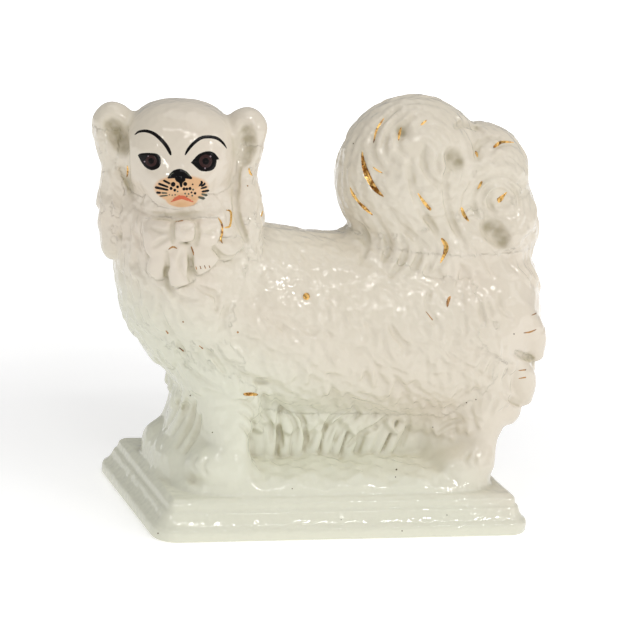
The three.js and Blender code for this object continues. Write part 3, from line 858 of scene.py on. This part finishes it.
def masses(clay):
    """The main masses, as the solid has them, run softly into each other."""
    clay.add(Plinth(), BLEND["plinth"])
    clay.add(Mound(), BLEND["ground"])
    clay.add(Egg(GRASS_MIDDLE, GRASS_HALF, power=GRASS_POWER), BLEND["grass"])
    for blade in blades():
        clay.add(blade, BLEND["blade"])
    for knots in (*WEBS, *LEGS):
        clay.add(Strand(knots, (1, 0, 0)), BLEND["leg"])
    for middle, half in FEET:
        clay.add(Egg(middle, half, power=FOOT_POWER), BLEND["foot"])
    trunk = new_clay()
    for form in TRUNK_FORMS:
        trunk.add(form, BLEND["body"])
    trunk.add(Egg(RUMP_MIDDLE, RUMP_HALF), BLEND["rump"])
    for tuft in rump_tufts():
        trunk.add(tuft, BLEND["tuft"])
    clay.field = smooth_min(clay.field, trunk.field, BLEND["trunk"])
    for form, blend in zip(TAIL_FORMS, TAIL_BLENDS):
        clay.add(form, blend)
    clay.add(HEAD_FORM, BLEND["head"])
    clay.add(MUZZLE_FORM, BLEND["muzzle"])
    for ear in EAR_FORMS:
        clay.add(ear, BLEND["ear"])


def groove(clay, width, depth, pixels):
    """A cutter that follows pixels of the photo over the surface, and gets finer to both ends."""
    depth = depth * GROOVE_DEPTH
    reach = np.linalg.norm(np.diff(np.array(pixels, float), axis=0), axis=1).sum() * MM_PER_PIXEL
    places = clay.skin(curve(pixels, max(GROOVE_LINKS, int(reach / GROOVE_LINK))))
    taper = np.sin(np.linspace(*GROOVE_TAPER, len(places)) * np.pi)[:, None] ** 0.5
    half = width / 2 * taper
    middles = places + clay.normals(places) * (half - depth * taper)
    return Strand(np.hstack((middles, half, half)), BACK, len(places) - 1)


def mirrored(cutter):
    """The same cutter on the far side."""
    rows = cutter.rows * np.array((1, -1, 1, 1, 1))
    return Strand(rows, (BACK[0], -BACK[1], BACK[2]), len(rows) - 1)


def curl_arcs():
    """The grooves of the tail's curl, as rows like those of the other grooves."""
    for radius, first, last in CURL_ARCS:
        angles = np.radians(np.linspace(first, last, ARC_POINTS))
        yield *CURL_GROOVE, CURL_EYE + radius * np.stack((np.cos(angles), -np.sin(angles)), 1)


def bow_lobes(clay):
    """The lobes of the bow, laid on the chest as it shows."""
    for out, knots in BOW:
        knots = np.array(knots, float)
        places = clay.skin(knots[:, :2]) + BACK * (out - knots[:, 3:] * LOBE_SINK)
        yield Strand(np.hstack((places, knots[:, 2:])), BACK)


def carve(clay):
    """The grooves and hollows that show in the photo. The tail's and the coat's are on both sides."""
    near = [
        groove(clay, *row)
        for row in (*LEG_GROOVES, *GRASS_GROOVES, *FACE_GROOVES, *BOW_GROOVES)
    ]
    both = [groove(clay, *row) for row in (*TAIL_GROOVES, *BODY_GROOVES, *curl_arcs())]
    pits = []
    for pixel, radius, deep in HOLLOWS:
        middle = clay.skin(np.array([pixel]))[0] - BACK * deep
        pits.append(Egg(middle, (radius, radius, radius)))
    for cutter in near + both + [mirrored(cutter) for cutter in both]:
        clay.cut(cutter, BLEND["groove"])
    for pit in pits:
        clay.cut(pit, BLEND["hollow"])
    return pits


def roots_on(places, spacing, rng):
    """Some of the places, about spacing apart."""
    order = rng.permutation(len(places))
    _, first = np.unique(np.floor(places[order] / spacing), axis=0, return_index=True)
    return places[order[first]]


def comb(clay, roots, flow, length, rng):
    """The paths of locks that grow from roots along a flow over the surface."""
    lengths = length * rng.uniform(*LENGTH_SPREAD, (len(roots), 1))
    paths = [roots]
    for _ in range(LOCK_STEPS):
        out = clay.normals(paths[-1])
        way = flow(paths[-1])
        way = unit(way - out * (way * out).sum(-1, keepdims=True))
        paths.append(clay.settle(paths[-1] + way * lengths / LOCK_STEPS))
    return np.stack(paths, 1)


def lock_ridge(share, across, half, top):
    """A lock's height at shares of its length and distances across it, highest near its tip."""
    wide = half * (ROOT_WIDTH + (1 - ROOT_WIDTH) * np.sin(np.pi * share ** BELLY))
    wide = wide * np.sqrt(1 - share ** TIP_WIDTH) + LOCK_LEAST
    rise = top * (ROOT_HEIGHT + (1 - ROOT_HEIGHT) * share) * np.sqrt(1 - share ** TIP_HEIGHT)
    return rise * np.maximum(1 - (across / wide) ** 2, 0) ** LOCK_ROUND


def lay_locks(clay, relief, paths, high, half):
    """Ridges along the paths, laid on the relief so that locks lie over each other."""
    outs = clay.normals(paths)
    room = half + LOCK_ROOM
    for path, out, top in zip(paths, outs, high):
        for i in range(LOCK_STEPS):
            start, end = path[i], path[i + 1]
            axis = end - start
            length = max(np.linalg.norm(axis), LEAST_STEP)
            axis = axis / length
            side = unit(np.cross(out[i], axis))
            slices, points = clay.window(np.minimum(start, end) - room, np.maximum(start, end) + room)
            offset = [points[j] - np.float32(start[j]) for j in range(3)]
            along = sum(offset[j] * axis[j] for j in range(3)) / length
            across = sum(offset[j] * side[j] for j in range(3))
            ridge = lock_ridge(np.clip((i + along) / LOCK_STEPS, 0, 1), across, half, top)
            ridge = np.where((along > -LOCK_OVERLAP) & (along < 1 + LOCK_OVERLAP), ridge, 0)
            relief[slices] = np.maximum(relief[slices], ridge.astype(np.float32))


def side_way(angle):
    """Directions in the side view, turned by angles in radians from straight down to the tail."""
    return np.stack((np.sin(angle), np.zeros_like(angle), -np.cos(angle)), -1)


def waves(places, rows):
    """Angles that swing to and fro over the surface."""
    return sum(height * np.sin(places @ np.array(rates) + start) for height, rates, start in rows)


def coat_flow(places):
    slant = np.radians(np.interp(places[:, 0], *np.array(SLANT, float).T))
    return side_way(slant + waves(places, COAT_WAVES))


def round_flow(places, middle):
    """Directions round a middle in the side view, down at its head side, and the way from it."""
    x, z = places[:, 0] - middle[0], places[:, 2] - middle[1]
    return unit(np.stack((-z, np.zeros_like(x), x), -1)), np.hypot(x, z)


def tail_flow(places):
    """Round the plume above, round the curl near it, and hanging in waves below."""
    plume, _ = round_flow(places, PLUME_SWIRL)
    curl, reach = round_flow(places, CURL_SWIRL)
    down = np.clip((HANG_HEIGHT - places[:, 2]) / HANG_FADE, 0, 1)[:, None]
    plume = plume * (1 - down) + side_way(TAIL_LEAN + waves(places, TAIL_WAVES)) * down
    share = np.clip((CURL_REACH - reach) / CURL_FADE, 0, 1)[:, None]
    return plume * (1 - share) + curl * share


def ear_flow(places):
    return side_way(EAR_LEAN + waves(places, EAR_WAVES))


def coat_height(places):
    """The coat is carved deeper on the chest and low on the flank than on the back."""
    low = np.clip((FLANK_TOP - places[:, 2]) / FLANK_FADE, 0, 1)
    front = np.clip((CHEST_BACK - places[:, 0]) / CHEST_FADE, 0, 1)
    return BACK_SHARE + (1 - BACK_SHARE) * np.maximum(low, front)


def full_height(places):
    return np.ones(len(places))


def hairy(places, lobes):
    """Which places of the surface are on the coat, on the tail and on the ears."""
    at = tuple(places.T.astype(np.float32))
    tail, ear, head, trunk, ribbon = (
        np.minimum.reduce([form.at(at) for form in forms])
        for forms in (TAIL_FORMS, EAR_FORMS, (HEAD_FORM, MUZZLE_FORM), TRUNK_FORMS, lobes)
    )
    height = places[:, 2]
    off_head = head > CLEAR_OF_HEAD
    free = off_head & (ear > CLEAR_OF_EAR) & (ribbon > CLEAR_OF_BOW) & (tail > CLEAR_OF_TAIL)
    on_coat = free & (trunk < TRUNK_REACH) & (height > COAT_BOTTOM)
    on_tail = (tail < TAIL_REACH) & (height > TAIL_BOTTOM)
    on_ear = (ear < EAR_REACH) & off_head & (height < EAR_TOP)
    return on_coat, on_tail, on_ear


def fur(clay, lobes):
    """Locks of hair over the coat, the tail and the ears, as a relief on the clay."""
    rng = np.random.default_rng(SEED)
    corners, _ = surface(clay)
    on_coat, on_tail, on_ear = hairy(corners, lobes)
    relief = np.zeros_like(clay.field)
    for keep, flow, (half, length, height, spacing), share in (
        (on_coat, coat_flow, COAT_LOCKS, coat_height),
        (on_tail, tail_flow, TAIL_LOCKS, full_height),
        (on_ear, ear_flow, EAR_LOCKS, full_height),
    ):
        roots = roots_on(corners[keep], spacing, rng)
        paths = comb(clay, roots, flow, length, rng)
        high = height * rng.uniform(*HEIGHT_SPREAD, len(roots)) * share(roots)
        lay_locks(clay, relief, paths, high, half)
    clay.field -= blurred(relief)


def new_clay():
    """Empty clay with room for the figure."""
    low = np.array(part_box(NODE)[0]) / MM - MARGIN
    high = np.array(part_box(NODE)[1]) / MM + MARGIN
    return Clay(low, high, GRID)


def surface(clay):
    """The corners and quads of the clay's surface, with one corner in each cell that it crosses."""
    field = clay.field
    inside = field < 0
    counts = np.array(field.shape) - 1
    spans = {
        step: tuple(slice(s, s + n) for s, n in zip(step, counts)) for step in np.ndindex(2, 2, 2)
    }
    crossed = np.zeros(counts, bool)
    for span in spans.values():
        crossed |= inside[span] != inside[spans[0, 0, 0]]
    cells = np.argwhere(crossed)
    number = np.full(counts, -1, np.int64)
    number[tuple(cells.T)] = np.arange(len(cells))
    values = {step: field[tuple((cells + step).T)].astype(float) for step in spans}
    total, count = np.zeros((len(cells), 3)), np.zeros(len(cells))
    for start in spans:
        for axis in range(3):
            if start[axis]:
                continue
            end = tuple(1 if i == axis else start[i] for i in range(3))
            a, b = values[start], values[end]
            hit = (a < 0) != (b < 0)
            part = np.where(hit, a / np.where(hit, a - b, 1), 0)
            place = np.tile(np.array(start, float), (len(cells), 1))
            place[:, axis] += part
            total += place * hit[:, None]
            count += hit
    corners = clay.low + (cells + total / count[:, None]) * clay.step
    quads = []
    for axis in range(3):
        others = [(axis + 1) % 3, (axis + 2) % 3]
        below, above = [slice(1, -1)] * 3, [slice(1, -1)] * 3
        below[axis], above[axis] = slice(0, -1), slice(1, None)
        edges = np.argwhere(inside[tuple(below)] != inside[tuple(above)])
        edges[:, others] += 1
        ring = []
        for shift in ((1, 1), (0, 1), (0, 0), (1, 0)):
            cell = edges.copy()
            cell[:, others] -= shift
            ring.append(number[tuple(cell.T)])
        ring = np.stack(ring, 1)
        flip = ~inside[tuple(edges.T)]
        ring[flip] = ring[flip][:, ::-1]
        quads.append(ring)
    return corners, np.vstack(quads)


def mesh_piece(name, places, faces, material):
    """A smooth mesh piece of the figure, from places in millimetres."""
    mesh = bpy.data.meshes.new(name)
    mesh.from_pydata((np.asarray(places) * MM).tolist(), [], np.asarray(faces).tolist())
    mesh.shade_smooth()
    mesh.materials.append(material)
    piece = bpy.data.objects.new(name, mesh)
    bpy.context.collection.objects.link(piece)
    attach(piece, "root")
    return piece


def thinned(piece):
    """The piece with its triangles merged where the surface is calm."""
    faces = sum(len(polygon.vertices) - 2 for polygon in piece.data.polygons)
    modifier = piece.modifiers.new("thin", "DECIMATE")
    modifier.ratio = TRIANGLES / faces
    modifier.use_collapse_triangulate = True
    graph = bpy.context.evaluated_depsgraph_get()
    mesh = bpy.data.meshes.new_from_object(piece.evaluated_get(graph))
    piece.modifiers.clear()
    piece.data = mesh


def shade_by_clay(piece, clay, lobes, pits):
    """Normals and masks for the look of the piece's corners, from the clay, with painted shade in creases
    and hollows.
    """
    mesh = piece.data
    places = np.empty(len(mesh.vertices) * 3)
    mesh.vertices.foreach_get("co", places)
    places = places.reshape(-1, 3) / MM
    normals = clay.normals(places)
    mesh.normals_split_custom_set_from_vertices(normals.tolist())
    # How closed in each corner is: it stands for glaze pooled in creases and for painted shade there.
    pool_and_shade = np.zeros(len(places))
    for reach in POOL_AND_SHADE_REACHES:
        pool_and_shade += np.clip(1 - clay.sample(places + normals * reach) / reach, 0, POOL_AND_SHADE_MOST)
    pool_and_shade /= len(POOL_AND_SHADE_REACHES)
    hair = np.maximum.reduce(hairy(places, lobes))
    # Painted shade at the bottom of each hollow, fading outwards.
    hollow = np.maximum.reduce([
        np.clip(PIT_SHADE - np.linalg.norm(away, axis=1) / pit.half[0] / PIT_WIDER, 0, 1)
        for pit, away in ((pit, places - pit.middle + BACK * pit.half) for pit in pits)
    ])
    for name, values in (("pool_and_shade", pool_and_shade), ("hair", hair), ("hollow", hollow)):
        layer = mesh.attributes.new(name, "FLOAT", "POINT")
        layer.data.foreach_set("value", values.astype(np.float32))


class Brush:
    """Lays strokes and patches of enamel or gilt on the finished surface, where pixels show it."""

    def __init__(self, piece, clay):
        corners = [corner.co for corner in piece.data.vertices]
        faces = [tuple(polygon.vertices) for polygon in piece.data.polygons]
        self.tree = BVHTree.FromPolygons(corners, faces)
        self.clay = clay
        self.places, self.faces = [], []

    def on_skin(self, pixels):
        eye, ways = rays(pixels)
        hits = [self.tree.ray_cast(Vector(eye * MM), Vector(way))[0] for way in ways]
        if None in hits:
            raise ValueError("a stroke runs off the figure")
        return np.array(hits) / MM

    def shell(self, pixels, lift, rows, row):
        """A thin closed shell over pixels that lie in rows, raised by lift over the surface."""
        places = self.on_skin(pixels)
        out = self.clay.normals(places)
        first = sum(len(part) for part in self.places)
        self.places += [places + out * lift[:, None], places - out * SINK]
        count = len(pixels)
        top = np.arange(count).reshape(rows, row) + first
        for i, j in np.ndindex(rows - 1, row - 1):
            quad = (top[i, j], top[i, j + 1], top[i + 1, j + 1], top[i + 1, j])
            self.faces += [quad, tuple(corner + count for corner in reversed(quad))]
        rim = [*top[0, ::-1], *top[1:, 0], *top[-1, 1:], *top[-2:0:-1, -1]]
        for start, end in zip(rim, rim[1:] + rim[:1]):
            self.faces.append((end, start, start + count, end + count))

    def stroke(self, knots, lift, swell):
        """A brush stroke along knots of pixel and width, with round ends."""
        knots = np.array(knots, float)
        length = np.linalg.norm(np.diff(knots[:, :2], axis=0), axis=1).sum()
        line = curve(knots, max(STROKE_LINKS, int(length / STROKE_LINK)))
        way = unit(np.gradient(line[:, :2], axis=0))
        along = np.linspace(-1, 1, len(line))
        half = np.maximum(line[:, 2], STROKE_WIDTH) * swell / MM_PER_PIXEL / 2
        half = half * np.sqrt(1 + END_WIDTH - along ** BLUNT_PLAN)
        across = np.stack((-way[:, 1], way[:, 0]), 1) * half[:, None]
        offsets = np.array(STROKE_LINES)
        pixels = line[:, None, :2] + across[:, None] * offsets[None, :, None]
        high = lift * (1 - offsets[None] ** 2) * (1 - along[:, None] ** BLUNT_HEIGHT) - EDGE
        self.shell(pixels.reshape(-1, 2), high.ravel(), len(line), len(offsets))

    def patch(self, outline, lift):
        """A patch inside an outline of pixels."""
        outline = np.array(outline, float)
        middle = outline.mean(0)
        ring = curve(np.vstack((outline, outline[:1])), OUTLINE_LINKS * len(outline))
        shares = np.array(RINGS)
        pixels = middle + (ring[None] - middle) * shares[:, None, None]
        high = np.repeat(lift * (1 - shares ** RIM_STEEP) - EDGE, len(ring))
        self.shell(pixels.reshape(-1, 2), high, len(shares), len(ring))

    def dot(self, x, y, width, lift):
        """A round dot at a pixel, with its width in millimetres."""
        angles = np.linspace(0, 2 * np.pi, DOT_POINTS, endpoint=False)
        ring = np.stack((np.cos(angles), np.sin(angles)), 1) * width / MM_PER_PIXEL / 2
        self.patch(ring + (x, y), lift)

    def piece(self, name, material):
        """One piece of everything laid since the last one."""
        mesh_piece(name, np.vstack(self.places), self.faces, material)
        self.places, self.faces = [], []


def paint(brush):
    """The face in black, brown, grey and orange, painted glints on the eyes and painted sheen on the nose,
    and the gilt strokes over the coat.
    """
    for outline in EYES:
        brush.patch(outline, LIFT["eye"])
    for knots in BROWS:
        brush.stroke(knots, LIFT["paint"], BROW_SWELL)
    for knots in WHISKERS:
        brush.stroke(knots, LIFT["whisker"], WHISKER_SWELL)
    brush.patch(NOSE, LIFT["nose"])
    for x, y, width in DOTS:
        brush.dot(x, y, width * DOT_SWELL, LIFT["paint"])
    for x, y, radius in IRISES:
        brush.dot(x, y, radius * PUPIL_SHARE * 2 * MM_PER_PIXEL, LIFT["pupil"])
    brush.piece("black_enamel", enamel_look("black_enamel"))
    for x, y, radius in IRISES:
        brush.dot(x, y, radius * 2 * MM_PER_PIXEL, LIFT["iris"])
    brush.piece("irises", enamel_look("brown_enamel"))
    # Painted glints of light on the eyes, in lilac enamel.
    for light in PAINTED_EYE_GLINTS:
        brush.dot(*light, LIFT["painted eye glint"])
    brush.piece("painted_eye_glints", enamel_look("eye_glint_enamel"))
    # Faint grey whiskers and dots, and the nose's painted sheen.
    for knots in (*FAINT_WHISKERS, *NOSE_SHINE):
        brush.stroke(knots, LIFT["thin"], BOLD)
    for x, y, width in FAINT_DOTS:
        brush.dot(x, y, width * BOLD, LIFT["paint"])
    brush.piece("grey_enamel_and_nose_sheen", enamel_look("grey_enamel_and_nose_sheen"))
    brush.patch(MOUTH, LIFT["mouth"])
    brush.piece("mouth", enamel_look("orange_enamel"))
    for knots in GILT:
        brush.stroke(knots, LIFT["gilt"], BOLD)
    brush.dot(*GILT_BEAD, LIFT["bead"])
    brush.piece("gilding", gilt_look("gilding"))
    for knots in WORN_GILT:
        brush.stroke(knots, LIFT["worn"], BOLD)
    brush.piece("worn_gilding", gilt_look("worn_gilding"))
    for speck in SPECKS:
        brush.dot(*speck, LIFT["paint"])
    brush.piece("specks", enamel_look("specks"))


class Look:
    """A procedural material: its nodes, and the shader that they drive."""

    def __init__(self, name, **values):
        self.material = bpy.data.materials.new(name)
        self.material.use_nodes = True
        self.tree = self.material.node_tree
        self.shader = self.tree.nodes["Principled BSDF"]
        for key, value in values.items():
            self.shader.inputs[key.replace("_", " ")].default_value = value
        self.places = self.node("ShaderNodeTexCoord").outputs["Object"]

    def node(self, kind, inputs=None, **settings):
        node = self.tree.nodes.new(kind)
        for key, value in settings.items():
            setattr(node, key, value)
        for key, value in (inputs or {}).items():
            if isinstance(value, bpy.types.NodeSocket):
                self.tree.links.new(value, node.inputs[key])
            else:
                node.inputs[key].default_value = value
        return node

    def noise(self, name, places=None):
        scale, detail = NOISES[name]
        inputs = {"Vector": places or self.places, "Scale": scale, "Detail": detail}
        return self.node("ShaderNodeTexNoise", inputs).outputs["Fac"]

    def ramp(self, value, low, high, start=0.0, end=1.0):
        inputs = {"Value": value, 1: low, 2: high, 3: start, 4: end}
        return self.node("ShaderNodeMapRange", inputs, interpolation_type="SMOOTHSTEP").outputs[0]

    def mix(self, share, first, second):
        node = self.node("ShaderNodeMix", data_type="RGBA")
        for socket, value in zip((node.inputs[0], node.inputs[6], node.inputs[7]), (share, first, second)):
            if isinstance(value, bpy.types.NodeSocket):
                self.tree.links.new(value, socket)
            else:
                socket.default_value = value
        return node.outputs[2]

    def maths(self, operation, first, second):
        return self.node("ShaderNodeMath", {0: first, 1: second}, operation=operation).outputs[0]

    def bump(self, height, distance, strength, normal=None):
        inputs = {"Height": height, "Distance": distance, "Strength": strength}
        if normal:
            inputs["Normal"] = normal
        return self.node("ShaderNodeBump", inputs).outputs[0]

    def drive(self, key, value):
        self.tree.links.new(value, self.shader.inputs[key])


def enamel_look(name):
    """Glossy enamel, a little thinner here and there."""
    tone, spread = ENAMELS[name]
    look = Look(name, Roughness=0.12, IOR=1.5, Specular_IOR_Level=0.15)
    thin = tuple(min(1, part + spread) for part in tone)
    look.drive("Base Color", look.mix(look.noise("enamel tone"), (*tone, 1), (*thin, 1)))
    look.drive("Normal", look.bump(look.noise("enamel ripple"), *ENAMEL_RIPPLE))
    return look.material


def gilt_look(name):
    """Burnished gilt, brown where it is worn thin."""
    dull, bright, roughness = GILDINGS[name]
    look = Look(name, Metallic=1.0, Roughness=roughness)
    wear = look.ramp(look.noise("gilt wear"), *WEAR_RAMP)
    look.drive("Base Color", look.mix(wear, (*dull, 1), (*bright, 1)))
    rough = look.ramp(look.noise("gilt"), *ROUGH_RAMP, roughness, roughness + GILT_SPREAD)
    look.drive("Roughness", rough)
    look.drive("Normal", look.bump(look.noise("gilt"), *GILT_RIPPLE))
    return look.material


def oval(look, middle, half):
    """1 inside an oval on the muzzle, 0 outside it."""
    inputs = {
        "Vector": look.places,
        "Location": middle * MM,
        "Rotation": Matrix(HEAD_AXES.tolist()).to_euler(),
        "Scale": (half[0] * MM, PEACH_DEPTH * MM, half[1] * MM),
    }
    place = look.node("ShaderNodeMapping", inputs, vector_type="TEXTURE").outputs[0]
    reach = look.node("ShaderNodeVectorMath", {0: place}, operation="LENGTH").outputs["Value"]
    return look.ramp(reach, *OVAL_RAMP)


def glaze_look(clay):
    """Ivory lead glaze: clear and shiny, grey-green where it pools, painted shade in creases and hollows,
    with the peach muzzle in it.
    """
    look = Look("ivory_glaze", Roughness=0.03, IOR=1.52)
    pool_and_shade, hair, hollow = (
        look.node("ShaderNodeAttribute", attribute_name=name).outputs["Fac"]
        for name in ("pool_and_shade", "hair", "hollow")
    )
    tone = look.mix(look.noise("ivory"), (*IVORY, 1), (*IVORY_PALE, 1))
    tone = look.mix(look.ramp(look.noise("warm"), *WARM_RAMP), tone, (*WARM, 1))
    apart = look.node("ShaderNodeSeparateXYZ", {0: look.places}).outputs
    level = look.maths("ADD", apart["Z"], look.maths("MULTIPLY", apart["X"], GREEN_SLOPE))
    tone = look.mix(look.ramp(level, *GREEN_RAMP), tone, (*GREEN, 1))
    # Buff pooled glaze in creases, which also paints shade there.
    tone = look.mix(look.ramp(pool_and_shade, *POOL_AND_SHADE_RAMP), tone, (*POOLED_AND_SHADED, 1))
    # Painted brown shade in the hollows, broken up in patches.
    patchy = look.maths("MULTIPLY", hollow, look.ramp(look.noise("patchy"), *PATCHY_RAMP))
    tone = look.mix(look.ramp(patchy, *HOLLOW_SHADE_RAMP), tone, (*HOLLOW_SHADE_TONE, 1))
    for pixel, half in PEACH:
        middle = clay.skin(np.array([pixel]))[0]
        tone = look.mix(oval(look, middle, half), tone, (*PEACH_TONE, 1))
    look.drive("Base Color", tone)
    wavy = look.ramp(hair, *WAVY_RAMP)
    ripple = look.bump(look.maths("MULTIPLY", look.noise("ripple"), wavy), *RIPPLE)
    inputs = {
        "Vector": look.places,
        "Rotation": (0, math.radians(HAIR_SLANT), 0),
        "Scale": HAIR_GRAIN,
    }
    slanted = look.node("ShaderNodeMapping", inputs, vector_type="TEXTURE").outputs[0]
    lines = look.maths("MULTIPLY", look.noise("hair", slanted), hair)
    ripple = look.bump(lines, *HAIR_LINES, ripple)
    look.drive("Normal", look.bump(look.noise("fine ripple"), *FINE_RIPPLE, ripple))
    return look.material


def area_light(name, place, size, watts):
    """A box of light that faces the figure."""
    light = bpy.data.lights.new(name, "AREA")
    light.shape = "RECTANGLE"
    light.size, light.size_y = size
    light.energy = watts
    lamp = bpy.data.objects.new(name, light)
    lamp.location = place
    lamp.rotation_euler = (Vector(LIGHT_AIM) - Vector(place)).to_track_quat("-Z", "Y").to_euler()
    bpy.context.collection.objects.link(lamp)


def stage():
    """A pale floor with a painted glow, dimmer near the figure and brighter away from it, soft light from
    boxes over the figure, and a dim even surround.
    """
    tone = (FLOOR_TONE, FLOOR_TONE, FLOOR_TONE, 1)
    look = Look("pale_glowing_floor", Roughness=FLOOR_ROUGH, Base_Color=tone, Emission_Color=(1, 1, 1, 1))
    reach = look.node("ShaderNodeVectorMath", {0: look.places}, operation="LENGTH").outputs["Value"]
    # Painted light: the floor glows, less near the figure than far from it.
    look.drive("Emission Strength", look.ramp(reach, *GLOW_REACH, *FLOOR_GLOW))
    mesh = bpy.data.meshes.new("floor")
    (left, front), (right, back) = FLOOR
    corners = [(left, front, 0), (right, front, 0), (right, back, 0), (left, back, 0)]
    mesh.from_pydata(corners, [], [(0, 1, 2, 3)])
    mesh.materials.append(look.material)
    floor = bpy.data.objects.new("floor", mesh)
    bpy.context.collection.objects.link(floor)
    world = bpy.data.worlds.new("surround")
    world.use_nodes = True
    world.node_tree.nodes["Background"].inputs["Color"].default_value = (1, 1, 1, 1)
    world.node_tree.nodes["Background"].inputs["Strength"].default_value = SURROUND
    bpy.context.scene.world = world
    for name, place, size, watts in LIGHTS:
        area_light(name, place, size, watts)
    bpy.context.scene.view_settings.view_transform = "Standard"


def camera():
    """The camera at the photo's angle, distance and framing."""
    data = bpy.data.cameras.new("photo_view")
    data.sensor_width = SENSOR
    data.lens = SENSOR * DISTANCE / (PICTURE * MM_PER_PIXEL)
    data.clip_start, data.clip_end = CAMERA_CLIP
    eye = bpy.data.objects.new("photo_view", data)
    middle = (PICTURE / 2 - AIM_PIXEL) * MM_PER_PIXEL
    place = AIM + BACK * DISTANCE + RIGHT * middle[0] - UP * middle[1]
    turn = Matrix(np.stack((RIGHT, UP, BACK), 1).tolist()).to_4x4()
    eye.matrix_world = Matrix.Translation(Vector(place * MM)) @ turn
    bpy.context.collection.objects.link(eye)
    bpy.context.scene.camera = eye


def main():
    clay = new_clay()
    masses(clay)
    lobes = list(bow_lobes(clay))
    fur(clay, lobes)
    for lobe in lobes:
        clay.add(lobe, BLEND["lobe"])
    pits = carve(clay)
    corners, quads = surface(clay)
    figure = mesh_piece("figure", corners, quads, glaze_look(clay))
    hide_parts(NODE)
    thinned(figure)
    shade_by_clay(figure, clay, lobes, pits)
    paint(Brush(figure, clay))
    stage()
    camera()


main()
